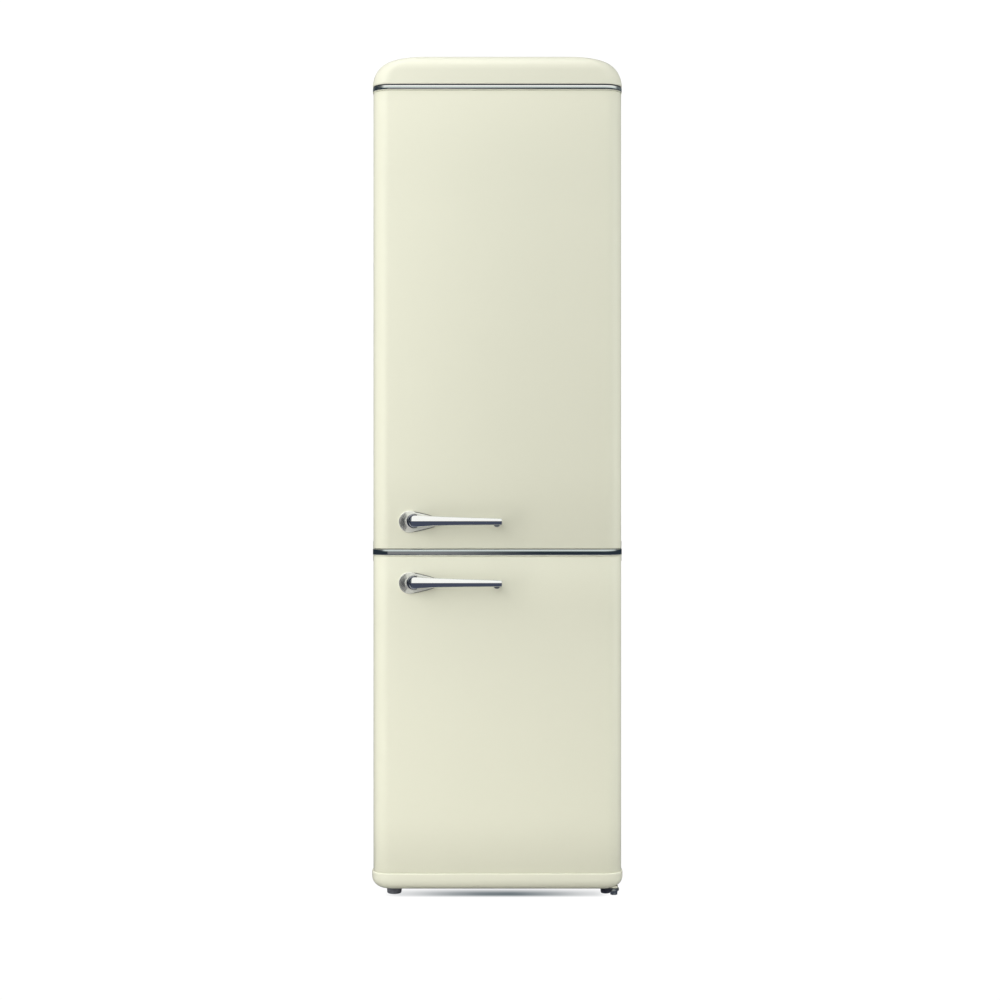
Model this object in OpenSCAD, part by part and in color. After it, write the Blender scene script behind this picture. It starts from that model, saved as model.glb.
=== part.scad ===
// Retro fridge-freezer, free standing, two doors, freezer below.
// Frame: +Z up, the doors face -Y, +X is the viewer's right. Millimetres.
// Depths are written as "v": 0 at the door front, growing towards the back.

/* [Cabinet] */
// Width of the doors and the cabinet
body_w = 550; // [548:1:552]
// Depth of the insulated cabinet, without doors and condenser
cab_d = 490; // [488:1:492]
// Height of the cabinet shell's top above the floor
cab_top = 1794; // [1792:1:1796]
// Thickness of the painted steel sheet
sheet_t = 1.2; // [1.1:0.1:1.3]
// Width of the steel flange that the gaskets close on
flange_w = 39; // [38:1:40]

/* [Doors] */
// Depth of a door, without its gasket
door_d = 58; // [57:0.5:58]
// Radius of the vertical door edges
door_r = 40; // [36:1:42]
// Lowest point of the fridge door's steel skin
up_z0 = 771; // [771:0.5:772]
// Highest point of the fridge door's steel skin
up_z1 = 1780.5; // [1780:0.5:1780.5]
// Lowest point of the freezer door's steel skin
lo_z0 = 57; // [56:1:58]
// Highest point of the freezer door's steel skin
lo_z1 = 755; // [754:0.5:755]

/* [Top cover and trims] */
// Highest point of the top cover
cap_top = 1860; // [1856:1:1864]
// Radius of the top cover's side shoulders, seen from the front
cap_r = 66; // [58:1:66]
// Radius of the top cover's front edge, seen from the side
cap_front_r = 34; // [28:1:38]
// How far the chrome bands stand out of the doors
band_proud = 1.5; // [1:0.5:2]

/* [Handles] */
// Centre height of the fridge door's handle
up_handle_z = 830.5; // [825:0.5:845]
// Centre height of the freezer door's handle
lo_handle_z = 696; // [680:0.5:700]
// Distance of the round handle plate from the cabinet's centre line
handle_x = 193; // [185:1:200]
// How far a handle stands out of the door
handle_out = 48; // [46:1:52]

/* [Feet] */
// Radius of a levelling foot
foot_r = 17; // [14:1:18]
// Height of a levelling foot's pad
foot_h = 17; // [15:1:18]

/* [Hidden] */
$fn = 48;
eps = 0.01;
back_v = 598;                                  // rearmost point: wall spacers
y_mid = (back_v - handle_out) / 2;             // puts the origin under the middle
hw = body_w / 2;
cab_v0 = 68;
cab_v1 = cab_v0 + cab_d;                       // 558
cab_z0 = 30;
hinge_x = 258;
hinge_v = 25;
pin_r = 4;
bush_r = 4.06;
// inner faces of the compartments
fr_x = 223; fr_z0 = 806; fr_z1 = 1750; fr_v1 = 510;
fz_x = 217; fz_z0 = 92; fz_z1 = 732; fz_v1 = 490;
fz_step_z = 325; fz_step_v = 288;
liner_t = 2.5;
niche_v = 340; niche_z = 270;
rail_z0 = 736; rail_z1 = 803;
pan_flange_z = 88;
shelf_z = [1190, 1370, 1550];
crisper_cover_z = 1020;
band_z0 = 756.5; band_z1 = 769.5;              // middle band
tband_z0 = 1782; tband_z1 = 1794;              // top band
rack_x = 192;
rack_v0 = 74; rack_v1 = 172;
rack_z = [1530, 1370, 1150, 850];              // floors of the four door racks
rack_h = [84, 78, 88, 120];
foot_x = [-230, 242];
foot_v = 62.5;
foot_rr = [foot_r, foot_r - 5];
evap_z = [529, 320.6];                        // refrigerated shelves of the freezer

// ---- helpers -------------------------------------------------------------
function arc(cx, cy, r, a0, a1, n = 10) =
  [for (i = [0:n]) [cx + r * cos(a0 + (a1 - a0) * i / n), cy + r * sin(a0 + (a1 - a0) * i / n)]];
// plan outline with rounded front corners
function plan_pts(w, v0, v1, r) = concat([[w / 2, v1], [-w / 2, v1]],
  arc(-w / 2 + r, v0 + r, r, 180, 270), arc(w / 2 - r, v0 + r, r, 270, 360));
// rounded rectangle from (x0, y0) to (x1, y1)
function rr_pts(x0, y0, x1, y1, r, n = 6) = concat(
  arc(x0 + r, y0 + r, r, 180, 270, n), arc(x1 - r, y0 + r, r, 270, 360, n),
  arc(x1 - r, y1 - r, r, 0, 90, n), arc(x0 + r, y1 - r, r, 90, 180, n));

module box3(x0, x1, v0, v1, z0, z1)
  translate([x0, v0 - y_mid, z0]) cube([x1 - x0, v1 - v0, z1 - z0]);
module slab(w, v0, v1, r, z0, z1)
  translate([0, -y_mid, z0]) linear_extrude(z1 - z0) polygon(plan_pts(w, v0, v1, r));
// prism of a (x, z) outline between two depths
module front_prism(pts, v0, v1)
  translate([0, v1 - y_mid, 0]) rotate([90, 0, 0]) linear_extrude(v1 - v0) polygon(pts);
// prism of a (v, z) outline between two x
module side_prism(pts, x0, x1)
  translate([x0, -y_mid, 0]) rotate([90, 0, 90]) linear_extrude(x1 - x0) polygon(pts);
module vcyl(x, v, z0, z1, r) translate([x, v - y_mid, z0]) cylinder(r = r, h = z1 - z0);
// cylinder along the depth
module dcyl(x, v0, v1, z, r) translate([x, v1 - y_mid, z]) rotate([90, 0, 0]) cylinder(r = r, h = v1 - v0);
module xcyl(x0, x1, v, z, r) translate([x0, v - y_mid, z]) rotate([0, 90, 0]) cylinder(r = r, h = x1 - x0);

// ---- cabinet -------------------------------------------------------------
module cabinet_wrap() color([0.90, 0.88, 0.79]) difference() {
  box3(-hw, hw, cab_v0, cab_v1, cab_z0, cab_top);
  box3(-hw + sheet_t, hw - sheet_t, cab_v0 + sheet_t, cab_v1 - sheet_t, cab_z0 - 1, cab_top - sheet_t);
  box3(-hw + flange_w, hw - flange_w, cab_v0 - 1, cab_v0 + 5, cab_z0 - 1, cab_top - flange_w);
  box3(-hw + 16, hw - 16, cab_v1 - 5, cab_v1 + 1, cab_z0 - 1, cab_top - 16);
}
module back_panel() color([0.78, 0.79, 0.80]) difference() {
  union() {
    box3(-hw + 1, hw - 1, cab_v1, cab_v1 + sheet_t, niche_z + 2, cab_top - 2);
    for (x = [-130, -45, 45, 130]) box3(x - 12, x + 12, cab_v1 + sheet_t - eps, cab_v1 + sheet_t + 2.2, niche_z + 60, cab_top - 60);
  }
}
module bottom_pan() color([0.62, 0.63, 0.64]) difference() {
  union() {
    side_prism([[cab_v0 + sheet_t, cab_z0], [niche_v + sheet_t, cab_z0], [niche_v + sheet_t, niche_z], [cab_v1 - sheet_t, niche_z],
      [cab_v1 - sheet_t, niche_z + sheet_t], [niche_v, niche_z + sheet_t], [niche_v, cab_z0 + sheet_t], [cab_v0 + sheet_t, cab_z0 + sheet_t]],
      -hw + sheet_t, hw - sheet_t);
    box3(-hw + flange_w, hw - flange_w, cab_v0, cab_v0 + sheet_t, cab_z0, pan_flange_z);
  }
  vcyl(0, 502, niche_z - 1, niche_z + 5, 7.1);
}
module mid_rail() color([0.88, 0.86, 0.78]) union() {
  box3(-hw + flange_w, hw - flange_w, cab_v0, cab_v0 + sheet_t, rail_z0, rail_z1);
  box3(-hw + flange_w, hw - flange_w, cab_v0 + sheet_t - eps, cab_v0 + 30, 767, 770);
}
module insulation_foam() color([0.93, 0.86, 0.62]) difference() {
  box3(-hw + sheet_t, hw - sheet_t, cab_v0 + 4, cab_v1 - sheet_t, cab_z0 + sheet_t, cab_top - sheet_t);
  box3(-hw, hw, niche_v - eps, cab_v1 + 1, cab_z0 - 1, niche_z + sheet_t);
  box3(-fr_x - liner_t, fr_x + liner_t, cab_v0, fr_v1 + liner_t, fr_z0 - liner_t, fr_z1 + liner_t);
  box3(-fz_x - liner_t, fz_x + liner_t, cab_v0, fz_step_v + liner_t, fz_z0 - liner_t, fz_z1 + liner_t);
  box3(-fz_x - liner_t, fz_x + liner_t, cab_v0, fz_v1 + liner_t, fz_step_z - liner_t, fz_z1 + liner_t);
  box3(-hw, hw, cab_v0, cab_v0 + 31, 766, 771);
  vcyl(0, 502, niche_z - 20, 810, 7.1);
}
module fridge_liner() color([0.95, 0.95, 0.94]) difference() {
  union() {
    box3(-fr_x - liner_t, fr_x + liner_t, cab_v0 + sheet_t, fr_v1 + liner_t, fr_z0 - liner_t, fr_z1 + liner_t);
    box3(-258, 258, cab_v0 + sheet_t, cab_v0 + 3.8, 776, 1779);
  }
  difference() {
    box3(-fr_x, fr_x, cab_v0 - 1, fr_v1, fr_z0, fr_z1);
    for (s = [-1, 1]) for (z = concat(shelf_z, [crisper_cover_z]))
      box3(s > 0 ? fr_x - 9 : -fr_x - 1, s > 0 ? fr_x + 1 : -fr_x + 9, 196, 500, z - 9, z);
  }
  vcyl(0, 502, fr_z0 - 10, fr_z0 + 5, 5);
}
module freezer_liner() color([0.95, 0.95, 0.94]) difference() {
  union() {
    side_prism([[cab_v0 + sheet_t, fz_z0 - liner_t], [fz_step_v + liner_t, fz_z0 - liner_t], [fz_step_v + liner_t, fz_step_z - liner_t],
      [fz_v1 + liner_t, fz_step_z - liner_t], [fz_v1 + liner_t, fz_z1 + liner_t], [cab_v0 + sheet_t, fz_z1 + liner_t]],
      -fz_x - liner_t, fz_x + liner_t);
    box3(-258, 258, cab_v0 + sheet_t, cab_v0 + 3.8, 60, 765);
  }
  difference() {
    side_prism([[cab_v0 - 1, fz_z0], [fz_step_v, fz_z0], [fz_step_v, fz_step_z], [fz_v1, fz_step_z], [fz_v1, fz_z1], [cab_v0 - 1, fz_z1]], -fz_x, fz_x);
    for (s = [-1, 1]) {
      box3(s > 0 ? fz_x - 22 : -fz_x - 1, s > 0 ? fz_x + 1 : -fz_x + 22, 112, 476, evap_z[0] - 8, evap_z[0] - 4);
      box3(s > 0 ? fz_x - 22 : -fz_x - 1, s > 0 ? fz_x + 1 : -fz_x + 22, 112, 284, evap_z[1] - 8, evap_z[1] - 4);
    }
  }
}

// ---- top cover and bands -------------------------------------------------
module cover_form(g) intersection() {
  slab(body_w + 2 * band_proud - 2 * g, -band_proud + g, 561 - g, door_r + band_proud - g, cab_top, cap_top - g);
  let (w = hw + band_proud - g, r = cap_r - g)
    front_prism(concat([[w, cab_top - 1]], arc(w - r, cap_top - g - r, r, 0, 90, 14), arc(-w + r, cap_top - g - r, r, 90, 180, 14), [[-w, cab_top - 1]]), -20, 600);
  let (r = cap_front_r - g, t = cap_top - g)
    side_prism(concat([[-band_proud + g, cab_top - 1], [561 - g, cab_top - 1]], arc(561 - g - 14, t - 14, 14, 0, 90, 5), arc(-band_proud + g + r, t - r, r, 90, 180, 10)), -320, 320);
}
module top_cover() color([0.91, 0.90, 0.81]) difference() {
  cover_form(0);
  translate([0, 0, -0.5]) cover_form(3);
}
module top_chrome_band() color([0.78, 0.80, 0.82]) difference() {
  slab(body_w + 2 * band_proud, -band_proud, 545, door_r + band_proud, tband_z0, tband_z1);
  slab(body_w, 2.5, 546, door_r - 2.5, tband_z0 - 1, tband_z1 + 1);
}
module mid_chrome_band() color([0.78, 0.80, 0.82]) difference() {
  slab(body_w + 2 * band_proud, -band_proud, cab_v0, door_r + band_proud, band_z0, band_z1);
  slab(body_w - 3, 2.5, cab_v0 + 1, door_r - 2.5, band_z0 - 1, band_z1 + 1);
}
module band_carriers() color([0.30, 0.31, 0.33]) {
  difference() {
    slab(body_w - 3, 2.5, cab_v0, door_r - 2.5, band_z0 + 2, band_z1 - 2);
    box3(231, 300, -5, cab_v0 + 1, band_z0, band_z1);
    box3(-268, 226, 8, 62, band_z0 + 4.5, band_z1 + 1);
  }
  difference() {
    slab(body_w, 2.5, cab_v0, door_r - 2.5, tband_z1 - 3, tband_z1);
    vcyl(hinge_x, hinge_v, tband_z0, tband_z1 + 1, 6);
  }
}
module band_side_clips() color([0.20, 0.21, 0.23]) union() {
  for (s = [-1, 1]) box3(s > 0 ? hw : -hw - 3.2, s > 0 ? hw + 3.2 : -hw, 69, 96, 741, 785);
}

// ---- hinges --------------------------------------------------------------
module hinge_leaf(x0, v1, z0, z1) intersection() {
  box3(x0, 272, 12, v1, z0, z1);
  slab(body_w - 9, 5, v1 + 1, 36, z0 - 1, z1 + 1);
}
module top_hinge() color([0.72, 0.73, 0.75]) union() {
  hinge_leaf(232, 130, cab_top, cab_top + 3);
  vcyl(hinge_x, hinge_v, 1771, cab_top + 1, pin_r);
}
module middle_hinge() color([0.72, 0.73, 0.75]) union() {
  hinge_leaf(234, cab_v0, 761.5, 764.5);
  box3(234, 268, cab_v0 - 3, cab_v0, 753, 775);
  vcyl(hinge_x, hinge_v, 745, 782, pin_r);
}
module bottom_hinge() color([0.72, 0.73, 0.75]) union() {
  hinge_leaf(250, 49, 12, 15);
  box3(255, 268, 48, cab_v0, 12, 15);
  box3(255, 268, cab_v0 - 3, cab_v0, 12, 50);
  box3(238, 268, cab_v0 - 3, cab_v0, 33, 50);
  vcyl(hinge_x, hinge_v, 13, 33, pin_r);
  vcyl(hinge_x, hinge_v, 15, 18.5, 7);
  translate([hinge_x, hinge_v - y_mid, 5]) cylinder(r = 8, h = 7.01, $fn = 6);
}
module screw_head(x, v, z) {
  dcyl(x, v - 2.6, v, z, 4.5);
}
module hinge_screws() color([0.66, 0.67, 0.69]) union() {
  for (x = [244, 261]) {
    for (z = [757.5, 769.5]) dcyl(x, cab_v0 - 5, cab_v0 - 3, z, 3.6);
    screw_head(x, cab_v0 - 3, 40);
    vcyl(x - 2, 84, cab_top + 3, cab_top + 5.6, 4.5);
    vcyl(x - 2, 116, cab_top + 3, cab_top + 5.6, 4.5);
  }
}

// ---- feet and rollers ----------------------------------------------------
module foot_brackets() color([0.68, 0.69, 0.71]) difference() {
  for (x = foot_x) box3(x - 18, x + 12, 58, 124, cab_z0 - 4, cab_z0);
  for (x = foot_x) vcyl(x, foot_v, cab_z0 - 6, cab_z0 + 1, 4.08);
  vcyl(hinge_x, hinge_v, cab_z0 - 6, cab_z0 + 1, 35.6);
}
module foot_pad(x, r) {
  translate([x, foot_v - y_mid, 0]) rotate_extrude() polygon([[0, 0], [r - 3, 0], [r - 1.6, 0.6], [r - 1, 2], [r, foot_h - 2], [r - 1, foot_h], [0, foot_h]]);
}
module front_foot_left() color([0.25, 0.26, 0.29]) foot_pad(foot_x[0], foot_rr[0]);
module front_foot_right() color([0.25, 0.26, 0.29]) foot_pad(foot_x[1], foot_rr[1]);
module foot_screw(x) {
  vcyl(x, foot_v, foot_h, 31.5, 4);
  translate([x, foot_v - y_mid, foot_h]) cylinder(r = 6.5, h = 2.3, $fn = 6);
}
module foot_screw_left() color([0.70, 0.71, 0.73]) foot_screw(foot_x[0]);
module foot_screw_right() color([0.70, 0.71, 0.73]) foot_screw(foot_x[1]);
module roller_brackets() color([0.62, 0.63, 0.65]) union() for (x = [-225, 225]) {
  box3(x - 14, x + 14, 470, 530, 28.5, cab_z0);
  for (s = [-1, 1]) box3(x + s * 12 - 1.2, x + s * 12 + 1.2, 484, 516, 8, 28.6);
  xcyl(x - 11, x + 11, 500, 14, 3);
}
module roller(x) color([0.22, 0.23, 0.25]) difference() {
  xcyl(x - 8, x + 8, 500, 14, 14);
  xcyl(x - 9, x + 9, 500, 14, 3.08);
}
module rear_roller_left() roller(-225);
module rear_roller_right() roller(225);

// ---- machine compartment -------------------------------------------------
comp = [60, 450];
module compressor_base() color([0.55, 0.56, 0.58]) difference() {
  union() {
    box3(-hw + sheet_t, hw - sheet_t, niche_v + sheet_t, cab_v1 - sheet_t, cab_z0, cab_z0 + 2);
    box3(-hw + sheet_t, hw - sheet_t, cab_v1 - sheet_t - 2, cab_v1 - sheet_t, cab_z0, cab_z0 + 22);
  }
  for (x = [-1, 1]) for (v = [-1, 1]) vcyl(comp[0] + x * 85, comp[1] + v * 50, cab_z0 - 1, cab_z0 + 3, 5);
}
module compressor_grommets() color([0.12, 0.12, 0.13])
  for (x = [-1, 1]) for (v = [-1, 1]) translate([comp[0] + x * 85, comp[1] + v * 50 - y_mid, cab_z0 + 2])
    difference() { cylinder(r = 12, h = 14); translate([0, 0, -1]) cylinder(r = 4, h = 20); }
module compressor() color([0.10, 0.10, 0.11]) union() {
  translate([comp[0], comp[1] - y_mid, 0]) {
    translate([0, 0, 46]) difference() {
      scale([1, 1, 1]) rotate_extrude() polygon([[0, 6], [40, 6], [58, 14], [68, 28], [71, 46], [71, 72], [73, 72], [73, 79], [71, 79], [70, 98], [64, 116], [50, 132], [30, 141], [0, 144]]);
      rotate_extrude() polygon([[0, 40], [36, 40], [50, 52], [54, 66], [54, 90], [44, 112], [30, 124], [0, 126]]);
    }
    difference() {
      translate([-100, -62, 46]) cube([200, 124, 3]);
      for (x = [-1, 1]) for (v = [-1, 1]) translate([x * 85, v * 50, 40]) cylinder(r = 4, h = 12);
    }
    for (a = [-1, 1]) translate([a * 34, -30, 48]) cube([6, 60, 14], center = false);
  }
}
module terminal_box() color([0.14, 0.14, 0.15]) difference() {
  union() {
    box3(comp[0] + 73.5, comp[0] + 118, comp[1] - 34, comp[1] + 34, 80, 150);
    dcyl(comp[0] + 98, comp[1] + 33, comp[1] + 46, 100, 8);
  }
  dcyl(comp[0] + 98, comp[1] + 26, comp[1] + 50, 100, 4);
}
module evaporation_tray() color([0.80, 0.81, 0.82]) difference() {
  box3(comp[0] - 90, comp[0] + 90, comp[1] - 62, comp[1] + 75, 190.1, 232);
  box3(comp[0] - 87.5, comp[0] + 87.5, comp[1] - 59.5, comp[1] + 72.5, 193, 240);
}
module pipe(pts, r) {
  for (i = [0:len(pts) - 2]) let (a = pts[i], b = pts[i + 1], d = b - a, l = norm(d))
    translate([a[0], a[1] - y_mid, a[2]]) rotate([0, acos(d[2] / l), atan2(d[1], d[0])]) cylinder(r = r, h = l);
  for (i = [1:len(pts) - 2]) translate([pts[i][0], pts[i][1] - y_mid, pts[i][2]]) sphere(r = r * 1.15);
}
module refrigerant_pipes() color([0.72, 0.45, 0.30]) union() {
  pipe([[60, 521.05, 104], [60, 542, 104], [60, 542, 136], [251, 542, 136], [251, 542, 236], [251, 576, 262], [251, 576, 1488], [215.1, 576, 1488]], 3);
  pipe([[-215, 576, 297.3], [-215, 576, 262], [-222, 530, 236], [-222, 530, 210.1]], 3);
  pipe([[-222, 530, 109.9], [-222, 530, 60], [-140, 530, 60], [-140, 530, 269.9]], 3);
  pipe([[-11.05, 450, 104], [-60, 450, 104], [-60, 450, 269.9]], 4);
}
module filter_drier() color([0.74, 0.47, 0.31]) translate([-222, 530 - y_mid, 110]) rotate_extrude()
  polygon([[0, 0], [3, 0], [3, 10], [9, 18], [9, 82], [3, 90], [3, 100], [0, 100]]);
module drain_tube() color([0.80, 0.81, 0.82]) difference() {
  vcyl(0, 502, 240, fr_z0 - liner_t, 7);
  vcyl(0, 502, 230, fr_z0, 5);
}

cond_pass = 23; cond_z0 = 300; cond_pitch = 54; cond_hx = 215;
module half_turn(x, z, s) translate([x, 576 - y_mid, z]) rotate([90, 0, 0]) rotate([0, 0, s > 0 ? -90 : 90])
  rotate_extrude(angle = 180) translate([cond_pitch / 2, 0]) circle(r = 2.6);
module condenser_coil() color([0.09, 0.09, 0.10]) union() {
  for (i = [0:cond_pass - 1]) xcyl(-cond_hx, cond_hx, 576, cond_z0 + i * cond_pitch, 2.6);
  for (i = [0:cond_pass - 2]) half_turn((i % 2 == 0 ? 1 : -1) * cond_hx, cond_z0 + (i + 0.5) * cond_pitch, i % 2 == 0 ? 1 : -1);
}
module condenser_wires() color([0.09, 0.09, 0.10])
  for (s = [-1, 1]) for (i = [0:15]) vcyl(-205 + i * 410 / 15 + (s > 0 ? 6 : 0), 576 + s * 3.7, cond_z0 - 12, cond_z0 + (cond_pass - 1) * cond_pitch + 12, 1);
module condenser_spacers() color([0.18, 0.18, 0.19])
  for (x = [-188.5, 194.5]) for (i = [2, 20]) difference() {
    box3(x - 9, x + 9, cab_v1 + sheet_t, back_v, cond_z0 + i * cond_pitch - 12, cond_z0 + i * cond_pitch + 12);
    xcyl(x - 10, x + 10, 576, cond_z0 + i * cond_pitch, 2.62);
  }

// ---- inside the compartments ---------------------------------------------
module evap_shelf(z, v0, v1, n) {
  let (p = (v1 - v0) / (n - 1)) union() {
    for (i = [0:n - 1]) xcyl(-171, 171, v0 + i * p, z, 4);
    for (i = [0:n - 2]) translate([(i % 2 == 0 ? 1 : -1) * 170, v0 + (i + 0.5) * p - y_mid, z])
      rotate([0, 0, i % 2 == 0 ? -90 : 90]) rotate_extrude(angle = 180) translate([p / 2, 0]) circle(r = 3.6);
  }
}
module freezer_evaporator() color([0.92, 0.93, 0.94]) {
  evap_shelf(evap_z[0], 120, 470, 8);
  evap_shelf(evap_z[1], 120, 280, 4);
}
module control_box() color([0.93, 0.94, 0.94]) difference() {
  box3(-140, 140, 200, 340, 1706, fr_z1);
  box3(-137, 137, 203, 337, 1709, fr_z1 - 3);
  dcyl(-85, 190, 204, 1728, 4.06);
  box3(-45, 115, 215, 325, 1700, 1712);
}
module thermostat_dial() color([0.86, 0.88, 0.90]) union() {
  dcyl(-85, 188, 198.5, 1728, 17);
  dcyl(-85, 190, 220, 1728, 4);
  box3(-88, -82, 184, 188.1, 1712, 1744);
}
module lamp_cover() color([0.96, 0.97, 0.98, 0.6]) difference() {
  box3(-44.5, 114.5, 215.5, 324.5, 1700, 1709);
  box3(-42.5, 112.5, 217.5, 322.5, 1702, 1710);
}
module glass_shelves() color([0.75, 0.86, 0.84, 0.4])
  for (z = concat(shelf_z, [crisper_cover_z])) box3(-fr_x + 2, fr_x - 2, 204, 494, z, z + 4);
module shelf_trims() color([0.94, 0.95, 0.95])
  for (z = concat(shelf_z, [crisper_cover_z])) {
    difference() { box3(-fr_x + 12, fr_x - 12, 194, 210, z - 8, z + 8); box3(-fr_x, fr_x, 203.9, 211, z - 0.1, z + 4.1); }
    difference() { box3(-fr_x + 12, fr_x - 12, 488, 500, z - 5, z + 16); box3(-fr_x, fr_x, 487, 494.1, z - 0.1, z + 4.1); }
  }
// open-topped box with rounded vertical edges
module tub(x0, x1, v0, v1, z0, z1, r, t) translate([0, -y_mid, 0]) difference() {
  translate([0, 0, z0]) linear_extrude(z1 - z0) polygon(rr_pts(x0, v0, x1, v1, r));
  translate([0, 0, z0 + t]) linear_extrude(z1 - z0) polygon(rr_pts(x0 + t, v0 + t, x1 - t, v1 - t, r - t));
}
module drawer(hx, v0, v1, z0, z1) union() {
  tub(-hx, hx, v0, v1, z0, z1, 14, 3);
  box3(-70, 70, v0 - 8, v0 + 1, z1 - 51, z1 - 48);
  box3(-70, 70, v0 - 11, v0 - 7.9, z1 - 63, z1 - 48);
}
module crisper_drawer() color([0.85, 0.91, 0.92, 0.45]) drawer(fr_x - 12, 216, 492, fr_z0 + 0.4, fr_z0 + 195);
module freezer_drawer_upper() color([0.87, 0.92, 0.94, 0.5]) drawer(fz_x - 8, 112, 480, evap_z[0] + 4.4, 722);
module freezer_drawer_middle() color([0.87, 0.92, 0.94, 0.5]) drawer(fz_x - 8, 112, 480, fz_step_z + 0.4, 516);
module freezer_drawer_lower() color([0.87, 0.92, 0.94, 0.5]) drawer(fz_x - 8, 112, 278, fz_z0 + 0.4, 306);

// ---- doors ---------------------------------------------------------------
module door_skin(z0, z1) difference() {
  slab(body_w, 0, door_d - 1, door_r, z0, z1);
  slab(body_w - 2 * sheet_t, sheet_t, door_d - 1 - sheet_t, door_r - sheet_t, z0 - 1, z1 + 1);
  box3(-hw + 20, hw - 20, door_d - 5, door_d + 5, z0 - 1, z1 + 1);
}
module door_foam(z0, z1) difference() {
  slab(body_w - 2 * sheet_t, sheet_t, door_d - 1 - sheet_t, door_r - sheet_t, z0, z1);
}
// end cap with a bearing for the hinge pin
module end_cap(z0, z1) difference() {
  slab(body_w - 2 * sheet_t, sheet_t, door_d - 1 - sheet_t, door_r - sheet_t, z0, z1);
  vcyl(hinge_x, hinge_v, z0 - 1, z1 + 1, bush_r);
}
// inner panel: flat flange, a raised dam all round, and a recess inside it
module door_liner(z0, z1, hx, v1, m, dam) difference() {
  union() {
    box3(-264, 264, door_d - 1, door_d + 1.5, z0 + 6, z1 - 6);
    box3(-hx, hx, door_d + 1, v1, z0 + m, z1 - m);
  }
  box3(-hx + dam, hx - dam, door_d + 4, v1 + 1, z0 + m + dam, z1 - m - dam);
}
module gasket(z0, z1) difference() {
  union() {
    box3(-258, 258, door_d + 1.5, door_d + 4.5, z0, z1);
    box3(-256, 256, door_d + 4.4, 67.4, z0 + 2, z1 - 2);
  }
  box3(-240, 240, door_d, 70, z0 + 18, z1 - 18);
  difference() {
    box3(-300, 300, door_d + 4.45, 64, z0 - 5, z1 + 5);
    box3(-254, 254, 0, 90, z0 + 4, z1 - 4);
  }
}
module upper_door_skin() color([0.91, 0.90, 0.81]) door_skin(up_z0, up_z1);
module upper_door_foam() color([0.93, 0.86, 0.62]) door_foam(up_z0 + 12, up_z1 - 12);
module upper_door_end_caps() color([0.88, 0.87, 0.79]) { end_cap(up_z0, up_z0 + 12); end_cap(up_z1 - 12, up_z1); }
module upper_door_liner() color([0.95, 0.95, 0.94]) union() {
  door_liner(up_z0, up_z1, 215, 98, 44, 20);
  for (z = rack_z) for (s = [-1, 1]) box3(s > 0 ? 180 : -196, s > 0 ? 196 : -180, door_d + 3, 94, z - 6, z);
}
module upper_door_gasket() color([0.86, 0.87, 0.87]) gasket(776, 1777);
lid_v = 86; lid_z = rack_z[0] + rack_h[0] + 11;
module door_racks() color([0.86, 0.91, 0.92, 0.5]) union() {
  for (i = [0:3]) tub(-rack_x, rack_x, rack_v0, rack_v1, rack_z[i], rack_z[i] + rack_h[i], 12, 3);
  // ears that carry the lid of the top rack
  for (s = [-1, 1]) difference() {
    box3(s > 0 ? rack_x - 3 : -rack_x, s > 0 ? rack_x : -rack_x + 3, lid_v - 9, lid_v + 9, rack_z[0] + rack_h[0] - 20, lid_z + 5);
    xcyl(-200, 200, lid_v, lid_z - 3, 3.06);
  }
}
module dairy_lid() color([0.86, 0.91, 0.92, 0.6]) union() {
  box3(-187, 187, lid_v - 3, 175.4, lid_z - 3, lid_z);
  box3(-187, 187, rack_v1 + 0.4, 175.4, lid_z - 18, lid_z - 1);
  xcyl(-191, 191, lid_v, lid_z - 3, 3);
}
module lower_door_skin() color([0.91, 0.90, 0.81]) door_skin(lo_z0, lo_z1);
module lower_door_foam() color([0.93, 0.86, 0.62]) door_foam(lo_z0 + 2, lo_z1 - 12);
module lower_door_liner() color([0.95, 0.95, 0.94]) door_liner(lo_z0, lo_z1, 207, 84, 48, 18);
module lower_door_gasket() color([0.86, 0.87, 0.87]) gasket(69, 752);
module trim_form(g) intersection() {
  slab(body_w + 6 - 2 * g, -3 + g, door_d - 1, door_r + 3 - g, 20 + g, lo_z0);
  let (w = hw + 3 - g, r = 28 - g) front_prism(concat(arc(-w + r, 20 + g + r, r, 180, 270, 8), arc(w - r, 20 + g + r, r, 270, 360, 8), [[w, lo_z0 + 1], [-w, lo_z0 + 1]]), -20, 80);
  let (r = 22 - g) side_prism(concat([[door_d - 1, 20 + g], [door_d - 1, lo_z0 + 1], [-3 + g, lo_z0 + 1]], arc(-3 + g + r, 20 + g + r, r, 180, 270, 8)), -320, 320);
}
module lower_door_end_trims() color([0.90, 0.89, 0.80]) {
  difference() {
    union() {
      difference() { trim_form(0); intersection() { trim_form(3); box3(-300, 300, -5, door_d - 4, 15, lo_z0 - 2); } }
      vcyl(hinge_x, hinge_v, 21, 36, 9);
    }
    vcyl(hinge_x, hinge_v, 10, 37, bush_r);
  }
  end_cap(lo_z1 - 12, lo_z1);
  slab(body_w - 2 * sheet_t, sheet_t, door_d - 1 - sheet_t, door_r - sheet_t, lo_z0, lo_z0 + 2);
}

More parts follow.
